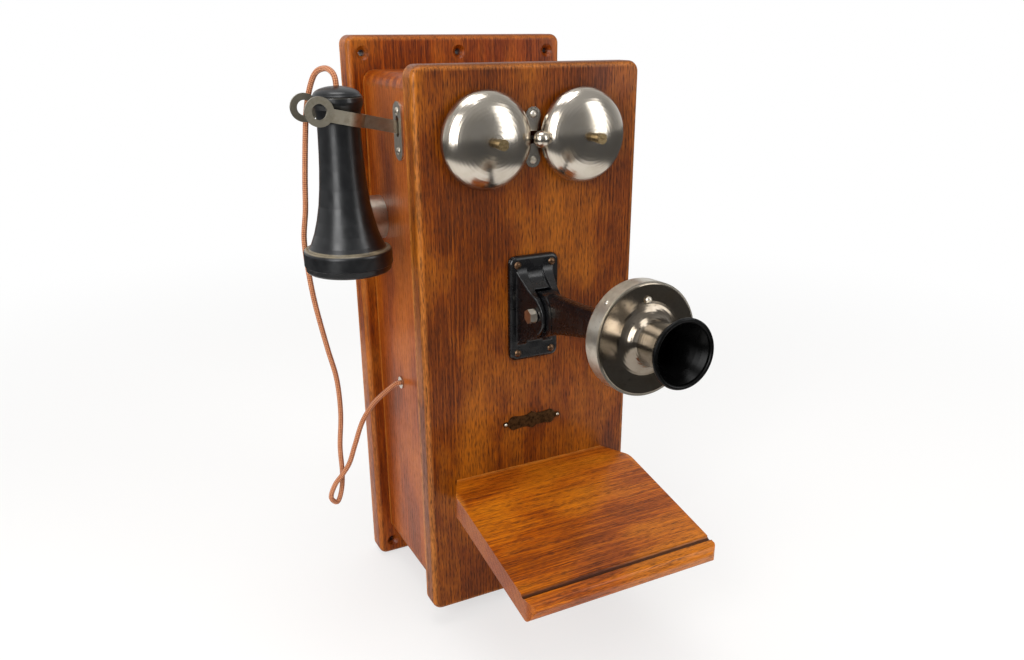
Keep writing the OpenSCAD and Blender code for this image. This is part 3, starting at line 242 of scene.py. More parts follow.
# Height over the door: the greater of the plate and the body, which is the lesser of the ridge's height
# and of the wall (bossHalf - |x|) / flare over the pivot's height. In the slot the height falls to the
# ridge less the valley, or to the circle round the pivot where that is lower. All joins are rounded.
def makeBracket(facts):
    halfX, halfUp = facts["halfSize"]
    slot, wall, corner, rim = facts["slotHalf"], facts["slotWall"], facts["corner"], facts["rim"]
    half = joinedRuns(
        (0, slot - 0.5, 8), (slot - 0.3, slot + 0.9, 9), (slot + 1.2, 18, 32), (18.4, halfX, 16))
    ups = joinedRuns((-halfUp, -halfUp + 4, 12), (-halfUp + 4.5, halfUp - 4.5, 150), (halfUp - 4, halfUp, 12))
    x, up = np.meshgrid(np.concatenate([-half[:0:-1], half]), facts["middleUp"] + ups)
    ridge = smoothLine([(u, out, 0) for u, out in facts["ridge"]], 0.5)
    crest = np.interp(up, ridge[::-1, 0], ridge[::-1, 1])
    pivotOut = facts["doorFace"] - facts["pivot"][0]
    body = softLesser(crest, pivotOut + (facts["bossHalf"] - np.abs(x)) / facts["flare"], facts["rounded"])

    # distance in from the plate's outline, whose corners are round, gives the rounding of its edge
    inX = halfX - np.abs(x)
    inUp = halfUp - np.abs(up - facts["middleUp"])
    fromCorner = np.hypot(np.maximum(corner - inX, 0), np.maximum(corner - inUp, 0))
    atCorner = (inX < corner) & (inUp < corner)
    inward = np.where(atCorner, corner - fromCorner, np.minimum(inX, inUp))
    drop = rim - np.sqrt(np.maximum(rim ** 2 - np.clip(rim - inward, 0, rim) ** 2, 0))
    plate = facts["plate"] - drop

    height = softGreater(plate, body, facts["flowing"])
    circle = pivotOut - np.sqrt(np.maximum(facts["knuckle"] ** 2 - up ** 2, 0))
    valley = softGreater(plate, crest - facts["valley"], facts["flowing"])
    cut = softLesser(valley, np.maximum(facts["slotFloor"], circle), facts["crisp"])
    rise = np.clip((np.abs(x) - slot) / wall, 0, 1)
    height = np.where(np.abs(x) < slot + wall, np.minimum(height, cut * (1 - rise) + height * rise), height)
    height = np.maximum(height, 0)

    # points past the round corners are drawn in to them
    past = atCorner & (fromCorner > corner)
    scale = np.where(past, corner / np.maximum(fromCorner, 1e-6), 1.0)
    drawnX = (halfX - corner + (corner - inX) * scale) * np.sign(x)
    fromMiddle = (halfUp - corner + (corner - inUp) * scale) * np.sign(up - facts["middleUp"])
    drawnUp = fromMiddle + facts["middleUp"]
    x, up = np.where(past, drawnX, x), np.where(past, drawnUp, up)

    # a skirt goes down to the door's face, and the back closes on its centre
    points = np.stack([x, facts["doorFace"] - height, up + facts["pivot"][1]], -1)
    closed = np.pad(points, ((2, 2), (2, 2), (0, 0)), mode="edge")
    closed[[1, -2], :, 1] = facts["doorFace"]
    closed[:, [1, -2], 1] = facts["doorFace"]
    centre = (0, facts["doorFace"], facts["pivot"][1])
    closed[[0, -1]] = centre
    closed[:, [0, -1]] = centre
    return gridMesh("bracketCasting", closed * mm)


bracketCasting = makeBracket(bracketFacts)
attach(bracketCasting, "door")
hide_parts("arm_bracket")
print("bracket made")


springFacts = {"wire": 0.4 * mm, "turns": 5, "around": 8, "perTurn": 24, "travel": 2.5 * mm}


# A tube round a helix: the line goes round at one radius in y and z, while x falls evenly from the box's
# high end to its low one, but for a flat turn at each end.
def makeSpring(facts):
    low, high = (np.array(corner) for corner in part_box("button_spring"))
    middle = (low + high) / 2
    wire = facts["wire"]
    radius = (high[1] - low[1]) / 2 - wire
    turn = np.linspace(0, facts["turns"], facts["perTurn"] * facts["turns"] + 1)
    rise = np.clip((turn - 1) / (facts["turns"] - 2), 0, 1)
    line = np.stack([
        high[0] - wire - rise * (high[0] - low[0] - 2 * wire),
        middle[1] + radius * np.cos(2 * math.pi * turn),
        middle[2] + radius * np.sin(2 * math.pi * turn)], 1)
    angle = np.linspace(0, 2 * math.pi, facts["around"], endpoint=False)
    return gridMesh("buttonSpring", tubeSurface(line, wire, angle), closed=True)


buttonSpring = makeSpring(springFacts)
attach(buttonSpring, "cabinet")
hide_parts("button_spring")
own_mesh(buttonSpring)
print("spring made")


# "#RRGGBB" in sRGB to the linear colour that a node takes.
def linearColour(text):
    value = np.array([int(text[i:i + 2], 16) for i in (1, 3, 5)]) / 255
    line = np.where(value <= 0.04045, value / 12.92, ((value + 0.055) / 1.055) ** 2.4)
    return (*line.tolist(), 1.0)


# Adds a node: settings are its own properties, links are sockets or constants for its inputs, and stops
# are the places and colours, or greys, of a colour ramp.
def addNode(tree, kind, settings=None, links=None, stops=None):
    node = tree.nodes.new(kind)
    for name, value in (settings or {}).items():
        setattr(node, name, value)
    for key, value in (links or {}).items():
        if isinstance(value, bpy.types.NodeSocket):
            tree.links.new(value, node.inputs[key])
        else:
            node.inputs[key].default_value = value
    if stops:
        ramp = node.color_ramp
        while len(ramp.elements) < len(stops):
            ramp.elements.new(0.5)
        for element, (place, colour) in zip(ramp.elements, stops):
            element.position = place
            element.color = linearColour(colour) if isinstance(colour, str) else (colour, colour, colour, 1)
    return node


# A material whose shader has these constants; the words of a socket's name are joined by underscores.
def newMaterial(name, **sockets):
    material = bpy.data.materials.new(name)
    material.use_nodes = True
    shader = material.node_tree.nodes["Principled BSDF"]
    for key, value in sockets.items():
        shader.inputs[key.replace("_", " ")].default_value = value
    return material, material.node_tree, shader


# Gives the material to CAD nodes, or to pieces made here, by name.
def dress(material, *names):
    for name in names:
        mesh = nodes[name].data if name in nodes else bpy.data.objects[name].data
        mesh.materials.clear()
        mesh.materials.append(material)


# Oak, open-pored and stained, under old spirit varnish: dark dashes of pore, silky streaks between them.
# "grainAlong" is the axis of the grain and "pith" the middle of the tree; "ring" is a year's growth and
# "wander" how far the rings stray, in mm. "golden" is where the stain took least.
# A pore is 0.3 mm wide in life and is drawn up to 1 mm wide, so that it shows.
oakDoor = {
    "grainAlong": 2, "offset": (0, 0, 0), "pith": (-700, 45), "ring": 3.1, "wander": 11.0,
    "light": "#984C07", "middle": "#703102", "dark": "#4A1D01", "pore": "#190901",
    "golden": "#AA600F", "porous": 0.85, "rough": 0.38,
}
oakCase = {
    "grainAlong": 2, "offset": (31, 17, 90), "pith": (-230, -330), "ring": 5.0, "wander": 16.0,
    "light": "#B2560C", "middle": "#924006", "dark": "#682803", "pore": "#2E1002",
    "golden": "#BC640E", "porous": 0.55, "rough": 0.36,
}
oakEnds = dict(oakCase, grainAlong=0, offset=(-40, 63, 12))
oakBoard = {
    "grainAlong": 2, "offset": (-77, 41, 15), "pith": (60, 260), "ring": 4.0, "wander": 14.0,
    "light": "#AE520A", "middle": "#823604", "dark": "#561E02", "pore": "#240C01",
    "golden": "#BE6C1A", "porous": 0.7, "rough": 0.36,
}
oakShelf = {
    "grainAlong": 0, "offset": (12, 200, 44), "pith": (150, -400), "ring": 5.5, "wander": 20.0,
    "light": "#C4680C", "middle": "#9E4A06", "dark": "#6C2B03", "pore": "#260D02",
    "golden": "#CC7812", "porous": 0.72, "rough": 0.3, "grooveAt": -309, "grooveHalf": 3.4,
}
grainNoises = {   # cells per mm across, across and along the grain; then the noise's detail and roughness
    "bend": ((0.03, 0.03, 0.005), 2.0, 0.45),      # makes the rings stray
    "finePore": ((2.0, 2.0, 0.075), 2.0, 0.6),
    "fibre": ((0.8, 0.8, 0.014), 4.0, 0.68),       # silky streaks
    "stain": ((0.022, 0.022, 0.009), 3.0, 0.55),   # patches of 50 to 100 mm
}
poreFacts = {
    "cells": (1.15, 1.15, 0.14),   # pores per mm, in the same order
    "dash": (0.12, 0.58),          # distance from a cell's centre at which its pore thins out, and ends
    "fineDash": (0.36, 0.5),       # fine noise at which a fine pore thins out, and ends
    "rougher": 0.3,                # added to the varnish's own roughness
    "relief": 0.2, "sunk": 0.0003,   # strength of the relief, and depth in metres
}
endGrainFacts = {"start": 0.45, "full": 0.9, "share": 0.55}   # share of the normal that lies along the grain
# bare wood where the varnish is rubbed off the edges, pale enough to be a painted edge highlight as well
rubAndHighlightFacts = {"colour": "#DC8A38", "inner": 0.5, "outer": 5.0, "cells": 0.11}   # mm in from the box; per mm
# painted shade along the shelf's groove
grooveShadeFacts = {
    "inner": 0.4,          # share of the half width that is not faded
    "depth": 0.92,
    "upper": (0.1, 0.3),   # z of the normal at which the painted shade starts, and is whole
}


# Noise stretched along the grain.
def grainNoise(tree, along, name):
    cells, detail, roughness = grainNoises[name]
    grid = addNode(tree, "ShaderNodeMapping", None, {"Vector": along, "Scale": cells})
    noise = addNode(tree, "ShaderNodeTexNoise", None, {
        "Vector": grid.outputs[0], "Scale": 1.0, "Detail": detail, "Roughness": roughness})
    return noise.outputs["Fac"]


# A belt across one coordinate: it has its depth out to the inner half width and fades to 0 at the outer.
def beltAcross(tree, coordinate, level, inner, outer, depth):
    off = addNode(tree, "ShaderNodeMath", {"operation": "SUBTRACT"}, {0: coordinate, 1: level})
    away = addNode(tree, "ShaderNodeMath", {"operation": "ABSOLUTE"}, {0: off.outputs[0]})
    belt = addNode(tree, "ShaderNodeMapRange", {"interpolation_type": "SMOOTHSTEP"}, {
        "Value": away.outputs[0], "From Min": inner, "From Max": outer, "To Min": depth, "To Max": 0.0})
    return belt.outputs[0]


# Early wood: the distance from the pith line plus slow noise, over the ring's width, is the year and its
# fraction the season; wood grown early in the year is near 1.
def earlyWood(tree, along, facts):
    bend = grainNoise(tree, along, "bend")
    pith = addNode(tree, "ShaderNodeVectorMath", {"operation": "MULTIPLY_ADD"}, {
        0: along, 1: (1, 1, 0), 2: (-facts["pith"][0], -facts["pith"][1], 0)})
    radius = addNode(tree, "ShaderNodeVectorMath", {"operation": "LENGTH"}, {0: pith.outputs[0]})
    bent = addNode(tree, "ShaderNodeMath", {"operation": "MULTIPLY_ADD"}, {
        0: bend, 1: facts["wander"], 2: radius.outputs["Value"]})
    year = addNode(tree, "ShaderNodeMath", {"operation": "DIVIDE"}, {0: bent.outputs[0], 1: facts["ring"]})
    season = addNode(tree, "ShaderNodeMath", {"operation": "FRACT"}, {0: year.outputs[0]})
    early = addNode(tree, "ShaderNodeValToRGB", None, {"Fac": season.outputs[0]},
                    [(0.0, 0.62), (0.15, 1.0), (0.45, 0.9), (0.72, 0.5), (1.0, 0.62)])
    return early.outputs[0]


# Depth of pore: the greater of stretched cells, dark near their centres, and of the low parts of a finer
# noise, times the early wood, which holds most pores.
def poreDepth(tree, along, early, facts):
    grid = addNode(tree, "ShaderNodeMapping", None, {"Vector": along, "Scale": poreFacts["cells"]})
    cells = addNode(tree, "ShaderNodeTexVoronoi", {"feature": "F1"}, {
        "Vector": grid.outputs[0], "Scale": 1.0})
    fine = grainNoise(tree, along, "finePore")
    dashes = []
    for value, name in ((cells.outputs["Distance"], "dash"), (fine, "fineDash")):
        full, end = poreFacts[name]
        dashes.append(addNode(tree, "ShaderNodeMapRange", {"interpolation_type": "SMOOTHSTEP"}, {
            "Value": value, "From Min": full, "From Max": end, "To Min": 1.0, "To Max": 0.0}).outputs[0])
    pores = addNode(tree, "ShaderNodeMath", {"operation": "MAXIMUM"}, {0: dashes[0], 1: dashes[1]})
    porous = addNode(tree, "ShaderNodeMath", {"operation": "MULTIPLY"}, {0: pores.outputs[0], 1: early})
    depth = addNode(tree, "ShaderNodeMath", {"operation": "MULTIPLY", "use_clamp": True}, {
        0: porous.outputs[0], 1: facts["porous"]})
    return depth.outputs[0]


# Colour between the pores: fibre noise plus a little early wood picks light, middle or dark; where the
# stain's slow noise is high the wood is golden, and where it is low it is darker.
def stainedWood(tree, along, early, facts):
    fibre = grainNoise(tree, along, "fibre")
    mixed = addNode(tree, "ShaderNodeMath", {"operation": "MULTIPLY_ADD"}, {0: early, 1: 0.1, 2: fibre})
    wood = addNode(tree, "ShaderNodeValToRGB", None, {"Fac": mixed.outputs[0]},
                   [(0.38, facts["light"]), (0.56, facts["middle"]), (0.76, facts["dark"])])
    stain = grainNoise(tree, along, "stain")
    warm = addNode(tree, "ShaderNodeValToRGB", None, {"Fac": stain}, [(0.45, 0.0), (0.66, 0.6)])
    gold = addNode(tree, "ShaderNodeMix", {"data_type": "RGBA"}, {
        0: warm.outputs[0], 6: wood.outputs[0], 7: linearColour(facts["golden"])})
    shade = addNode(tree, "ShaderNodeValToRGB", None, {"Fac": stain}, [(0.3, 0.68), (0.5, 1.0)])
    toned = addNode(tree, "ShaderNodeMix", {"data_type": "RGBA", "blend_type": "MULTIPLY"}, {
        0: 1.0, 6: gold.outputs[2], 7: shade.outputs[0]})
    return toned.outputs[2]


# How far the varnish is rubbed off, in a colour pale enough to be a painted highlight along the edges as
# well:
# each axis counts up to 1 near its two faces of the piece's box, and the sum less 1 is above 0 only along an
# edge, where noise breaks it up.
def rubbedAndHighlitEdges(tree, inMm, node):
    low, high = (np.array(corner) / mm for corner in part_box(node))
    middle = addNode(tree, "ShaderNodeVectorMath", {"operation": "SUBTRACT"}, {
        0: inMm, 1: ((low + high) / 2).tolist()})
    span = addNode(tree, "ShaderNodeVectorMath", {"operation": "ABSOLUTE"}, {0: middle.outputs[0]})
    inward = addNode(tree, "ShaderNodeVectorMath", {"operation": "SUBTRACT"}, {
        0: ((high - low) / 2).tolist(), 1: span.outputs[0]})
    sides = addNode(tree, "ShaderNodeSeparateXYZ", None, {0: inward.outputs[0]})
    near = [addNode(tree, "ShaderNodeMapRange", None, {
        "Value": sides.outputs[axis], "From Min": rubAndHighlightFacts["inner"], "From Max": rubAndHighlightFacts["outer"],
        "To Min": 1.0, "To Max": 0.0}).outputs[0] for axis in range(3)]
    pair = addNode(tree, "ShaderNodeMath", {"operation": "ADD"}, {0: near[0], 1: near[1]})
    total = addNode(tree, "ShaderNodeMath", {"operation": "ADD"}, {0: pair.outputs[0], 1: near[2]})
    edge = addNode(tree, "ShaderNodeMath", {"operation": "SUBTRACT", "use_clamp": True}, {
        0: total.outputs[0], 1: 1.0})
    broken = addNode(tree, "ShaderNodeTexNoise", None, {
        "Vector": inMm, "Scale": rubAndHighlightFacts["cells"], "Detail": 4.0, "Roughness": 0.6})
    rubbedAndHighlit = addNode(tree, "ShaderNodeMath", {"operation": "MULTIPLY"}, {
        0: edge.outputs[0], 1: broken.outputs["Fac"]})
    return rubbedAndHighlit.outputs[0]


# Colour = stained wood, then bare where rubbed, which is also a painted highlight along the edges, then dark
# in the pores, then darker on end grain, which is where the surface's own normal lies along the grain. Pores
# are sunk and rougher than the varnish.
def varnishedOak(name, facts, node):
    material, tree, shader = newMaterial(
        name, IOR=1.5, Specular_IOR_Level=0.18, Coat_Weight=0.09, Coat_Roughness=0.08)
    place = addNode(tree, "ShaderNodeTexCoord")
    inMm = addNode(tree, "ShaderNodeMapping", None, {
        "Vector": place.outputs["Object"], "Scale": (1000, 1000, 1000)}).outputs[0]
    quarterTurn = math.radians(90 if facts["grainAlong"] == 0 else 0)
    along = addNode(tree, "ShaderNodeMapping", None, {
        "Vector": inMm, "Rotation": (0, quarterTurn, 0), "Location": facts["offset"]}).outputs[0]
    early = earlyWood(tree, along, facts)
    depth = poreDepth(tree, along, early, facts)
    # bare wood at the rubbed edges, which is also a painted highlight along them
    wornAndHighlit = addNode(tree, "ShaderNodeMix", {"data_type": "RGBA"}, {
        0: rubbedAndHighlitEdges(tree, inMm, node), 6: stainedWood(tree, along, early, facts),
        7: linearColour(rubAndHighlightFacts["colour"])})
    pored = addNode(tree, "ShaderNodeMix", {"data_type": "RGBA"}, {
        0: depth, 6: wornAndHighlit.outputs[2], 7: linearColour(facts["pore"])})
    facing = addNode(tree, "ShaderNodeSeparateXYZ", None, {0: place.outputs["Normal"]})
    square = addNode(tree, "ShaderNodeMath", {"operation": "ABSOLUTE"}, {
        0: facing.outputs[facts["grainAlong"]]})
    endGrain = addNode(tree, "ShaderNodeMapRange", {"interpolation_type": "SMOOTHSTEP"}, {
        "Value": square.outputs[0], "From Min": endGrainFacts["start"], "From Max": endGrainFacts["full"],
        "To Max": endGrainFacts["share"]})
    final = addNode(tree, "ShaderNodeMix", {"data_type": "RGBA"}, {
        0: endGrain.outputs[0], 6: pored.outputs[2], 7: linearColour(facts["dark"])})
    if "grooveAt" in facts:
        # painted shade in the groove, on its upper side only
        where = addNode(tree, "ShaderNodeSeparateXYZ", None, {0: inMm})
        half = facts["grooveHalf"]
        line = beltAcross(tree, where.outputs[1], facts["grooveAt"],
                          grooveShadeFacts["inner"] * half, half, grooveShadeFacts["depth"])
        start, full = grooveShadeFacts["upper"]
        upper = addNode(tree, "ShaderNodeMapRange", None, {
            "Value": facing.outputs[2], "From Min": start, "From Max": full})
        grooveShade = addNode(tree, "ShaderNodeMath", {"operation": "MULTIPLY"}, {0: line, 1: upper.outputs[0]})
        final = addNode(tree, "ShaderNodeMix", {"data_type": "RGBA"}, {
            0: grooveShade.outputs[0], 6: final.outputs[2], 7: linearColour(facts["pore"])})
    rough = addNode(tree, "ShaderNodeMapRange", None, {
        "Value": depth, "To Min": facts["rough"], "To Max": facts["rough"] + poreFacts["rougher"]})
    bump = addNode(tree, "ShaderNodeBump", {"invert": True}, {
        "Height": depth, "Strength": poreFacts["relief"], "Distance": poreFacts["sunk"]})
    tree.links.new(final.outputs[2], shader.inputs["Base Color"])
    tree.links.new(rough.outputs[0], shader.inputs["Roughness"])
    tree.links.new(bump.outputs[0], shader.inputs["Normal"])
    return material


oakPieces = {
    "door_panel": oakDoor,
    "side_left": oakCase,
    "side_right": oakCase,
    "top_panel": oakEnds,
    "bottom_panel": oakEnds,
    "backboard": oakBoard,
    "shelf": oakShelf,
    "terminal_block": oakShelf,
}
for node, facts in oakPieces.items():
    dress(varnishedOak("oak_" + node, facts, node), node)
print("oak made")


# Metals and blacks. "patch" and "grain" are the sizes in mm of the slow clouds and of the fine specks,
# "share" is how far the clouds go to the tarnish, "specks" how much of the surface the specks take, and
# "rough" the smoothest and the roughest. A belt of dust has a height and half width in mm, colour and depth.
finishFacts = {
    "polishedNickelPlate": {  # warm grey mirror, a little brown where the plate is thin, a few pits
        "base": "#C4BCB0", "tarnish": "#988A72", "speck": "#3A2E22", "metallic": 1.0,
        "rough": (0.16, 0.24), "patch": 14.0, "share": 0.25, "grain": 0.9, "specks": 0.12, "speckDepth": 0.6},
    "handledNickelPlate": {  # the same plate dulled by hands: broad soft highlights
        "base": "#D0C9BC", "tarnish": "#968A76", "speck": "#332A20", "metallic": 1.0,
        "rough": (0.28, 0.4), "patch": 8.0, "share": 0.45, "grain": 0.8, "specks": 0.2, "speckDepth": 0.6},
    "shadedFaceNickelPlate": {  # the face plate of the transmitter: brownish, finely pitted, and darker than the other nickel as painted shade for the dark room it mirrors
        "base": "#867D71", "tarnish": "#6A5D4B", "speck": "#241C14", "metallic": 1.0,
        "rough": (0.13, 0.2), "patch": 12.0, "share": 0.6, "grain": 0.7, "specks": 0.45, "speckDepth": 0.6},
    "hookNickelPlate": {  # worn through to dull metal: greenish grey
        "base": "#B0A998", "tarnish": "#7C7462", "speck": "#3A342A", "metallic": 1.0,
        "rough": (0.36, 0.48), "patch": 5.0, "share": 0.5, "grain": 0.8, "specks": 0.2, "speckDepth": 0.6},
    "agedBrass": {  # oxidised, olive brown
        "base": "#9A8662", "tarnish": "#54452E", "speck": "#2A2016", "metallic": 1.0,
        "rough": (0.3, 0.5), "patch": 2.2, "share": 0.7, "grain": 0.5, "specks": 0.3, "speckDepth": 0.6},
    "brightSteel": {  # cold grey, dulled in patches, inside the case
        "base": "#A5A7AA", "tarnish": "#6B655C", "speck": "#3B352E", "metallic": 1.0,
        "rough": (0.25, 0.4), "patch": 6.0, "share": 0.4, "grain": 0.7, "specks": 0.2, "speckDepth": 0.5},
    "magnetSteel": {  # dark blued steel, nearly matt
        "base": "#4A4D52", "tarnish": "#2B2724", "speck": "#171412", "metallic": 1.0,
        "rough": (0.4, 0.55), "patch": 7.0, "share": 0.5, "grain": 0.8, "specks": 0.2, "speckDepth": 0.5},
    "japannedIron": {  # baked black varnish over a casting: black, satin, with a few pale nicks
        "base": "#08080A", "tarnish": "#0E0E0F", "speck": "#7C766A", "metallic": 0.0,
        "rough": (0.22, 0.34), "patch": 9.0, "share": 0.8, "grain": 1.0, "specks": 0.05, "speckDepth": 0.5},
    "hardRubber": {  # turned and rubbed down: satin black, cold where light grazes it
        "base": "#0D0E10", "tarnish": "#17181A", "speck": "#3A3935", "metallic": 0.0,
        "rough": (0.28, 0.4), "patch": 10.0, "share": 0.8, "grain": 0.8, "specks": 0.07, "speckDepth": 0.35,
        "belts": [(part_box("ear_cap")[1][2] / mm, 1.3, "#8C8068", 1.2),
                  (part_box("receiver_shell")[1][2] / mm, 1.0, "#5C5850", 0.9)]},
    "polishedRubber": {  # the mouthpiece: deep black with sharp small highlights
        "base": "#030303", "tarnish": "#060606", "speck": "#1E1D1B", "metallic": 0.0,
        "rough": (0.24, 0.34), "patch": 9.0, "share": 0.6, "grain": 0.8, "specks": 0.04, "speckDepth": 0.25,
        "shine": 0.12},
    "bronzedBrass": {  # screw heads, brown with dark recesses
        "base": "#6F5540", "tarnish": "#33261C", "speck": "#1B130D", "metallic": 1.0,
        "rough": (0.35, 0.5), "patch": 1.8, "share": 0.7, "grain": 0.5, "specks": 0.25, "speckDepth": 0.6},
    "darkBronze": {  # the badge plate, dark brown with a dull shine
        "base": "#5A452C", "tarnish": "#22180F", "speck": "#140E09", "metallic": 1.0,
        "rough": (0.38, 0.55), "patch": 3.0, "share": 0.85, "grain": 0.7, "specks": 0.3, "speckDepth": 0.6},
    "tinnedSheet": {  # soft grey sheet of the condenser
        "base": "#9C9B95", "tarnish": "#6F6A60", "speck": "#4C463C", "metallic": 1.0,
        "rough": (0.35, 0.5), "patch": 12.0, "share": 0.5, "grain": 0.9, "specks": 0.15, "speckDepth": 0.5},
    "cottonWinding": {  # matt red-brown thread round the coils
        "base": "#6B2F23", "tarnish": "#4A1F17", "speck": "#2B120D", "metallic": 0.0,
        "rough": (0.7, 0.85), "patch": 5.0, "share": 0.5, "grain": 0.8, "specks": 0.25, "speckDepth": 0.5},
}


ageFacts = {
    "clouds": (0.4, 0.72),      # slow noise at which tarnish starts, and at which it has its whole share
    "dulled": (0.35, 0.7),      # slow noise at which the surface is smoothest, and roughest
    "fineCells": 0.45,          # cells of the fine noise in one grain
    "specksFrom": (0.78, 0.3),  # fine noise at which a speck starts, and how much lower if specks is 1
    "speckEdge": 0.05,
    "relief": 0.03, "high": 0.0001,   # strength of the relief, and height in metres
    "beltInner": 0.3,           # share of a belt's half width that is not faded
}


# Colour = base, moved to tarnish by slow clouds, to a belt's colour where dust lies, and to the speck's
# colour where fine noise is high; the clouds also roughen it, and the fine noise gives it a faint relief.
def agedSurface(name, facts):
    material, tree, shader = newMaterial(
        name, Metallic=facts["metallic"], Specular_IOR_Level=facts.get("shine", 0.5))
    place = addNode(tree, "ShaderNodeTexCoord")
    inMm = addNode(tree, "ShaderNodeMapping", None, {
        "Vector": place.outputs["Object"], "Scale": (1000, 1000, 1000)})
    slow = addNode(tree, "ShaderNodeTexNoise", None, {
        "Vector": inMm.outputs[0], "Scale": 1 / facts["patch"], "Detail": 5.0, "Roughness": 0.55})
    fine = addNode(tree, "ShaderNodeTexNoise", None, {
        "Vector": inMm.outputs[0], "Scale": ageFacts["fineCells"] / facts["grain"],
        "Detail": 2.0, "Roughness": 0.5})
    clouds = addNode(tree, "ShaderNodeMapRange", {"interpolation_type": "SMOOTHSTEP"}, {
        "Value": slow.outputs["Fac"], "From Min": ageFacts["clouds"][0], "From Max": ageFacts["clouds"][1],
        "To Max": facts["share"]})
    dulled = addNode(tree, "ShaderNodeMix", {"data_type": "RGBA"}, {
        0: clouds.outputs[0], 6: linearColour(facts["base"]), 7: linearColour(facts["tarnish"])})
    for level, half, colour, depth in facts.get("belts", []):   # each lies round one height of the piece
        height = addNode(tree, "ShaderNodeSeparateXYZ", None, {0: inMm.outputs[0]})
        belt = beltAcross(tree, height.outputs[2], level, ageFacts["beltInner"] * half, half, depth)
        broken = addNode(tree, "ShaderNodeMath", {"operation": "MULTIPLY"}, {0: belt, 1: slow.outputs["Fac"]})
        dulled = addNode(tree, "ShaderNodeMix", {"data_type": "RGBA"}, {
            0: broken.outputs[0], 6: dulled.outputs[2], 7: linearColour(colour)})
    start = ageFacts["specksFrom"][0] - ageFacts["specksFrom"][1] * facts["specks"]
    specks = addNode(tree, "ShaderNodeMapRange", {"interpolation_type": "SMOOTHSTEP"}, {
        "Value": fine.outputs["Fac"], "From Min": start, "From Max": start + ageFacts["speckEdge"],
        "To Max": facts["speckDepth"]})
    final = addNode(tree, "ShaderNodeMix", {"data_type": "RGBA"}, {
        0: specks.outputs[0], 6: dulled.outputs[2], 7: linearColour(facts["speck"])})
    rough = addNode(tree, "ShaderNodeMapRange", None, {
        "Value": slow.outputs["Fac"], "From Min": ageFacts["dulled"][0], "From Max": ageFacts["dulled"][1],
        "To Min": facts["rough"][0], "To Max": facts["rough"][1]})
    bump = addNode(tree, "ShaderNodeBump", None, {
        "Height": fine.outputs["Fac"], "Strength": ageFacts["relief"], "Distance": ageFacts["high"]})
    tree.links.new(final.outputs[2], shader.inputs["Base Color"])
    tree.links.new(rough.outputs[0], shader.inputs["Roughness"])
    tree.links.new(bump.outputs[0], shader.inputs["Normal"])
    return material


finishedPieces = {
    "polishedNickelPlate": ["gong_left", "gong_right", "clapper_plate", "clapper_ball", "cord_grommet",
                            "mouthpiece_socket"],
    "handledNickelPlate": ["hook_plate", "badge_pins", "hook_plate_screws", "clapper_plate_screws",
                           "transmitter_cup", "transmitter_screws", "button_shell", "pivot_bolt",
                           "pivot_nut"],
    "shadedFaceNickelPlate": ["faceplate"],
    "hookNickelPlate": ["hook_lever"],
    "agedBrass": ["terminal_screws", "gong_posts", "carbon_button", "button_bridge", "switch_springs",
                  "hinge_leaves_case", "hinge_leaves_door", "hinge_pins"],
    "brightSteel": ["switch_bracket", "hook_pivot_pin", "button_spring", "buttonSpring", "ringer_frame",
                    "clapper_armature", "clapper_rod", "transmitter_diaphragm", "receiver_diaphragm"],
    "magnetSteel": ["ringer_magnet", "receiver_magnet"],
    "japannedIron": ["arm_bracket", "transmitter_arm", "bracketCasting"],
    "hardRubber": ["receiver_shell", "tail_cap", "ear_cap", "button_plunger"],
    "polishedRubber": ["mouthpiece"],
    "bronzedBrass": ["bracket_screws"],
    "darkBronze": ["badge_plate"],
    "tinnedSheet": ["condenser"],
    "cottonWinding": ["induction_coil", "ringer_coils", "receiver_coils", "receiver_cord"],
}
for name, pieces in finishedPieces.items():
    dress(agedSurface(name, finishFacts[name]), *pieces)


# Braided cotton, matt and softly furred: dull brick red, with painted shade between the yarns and a painted
# highlight on their crowns.
yarnFacts = {
    # hollow is painted shade between the yarns and crown a painted highlight on them
    "hollow": "#7A3F22", "side": "#A5623C", "crown": "#C4855A",
    "fuzzCells": 260.0,               # per metre: loose fibres a few mm long
    "fuzz": 1.2,                      # as a share of the yarns' own height
    "relief": 0.6, "high": 0.0002,    # strength of the relief, and height in metres
}


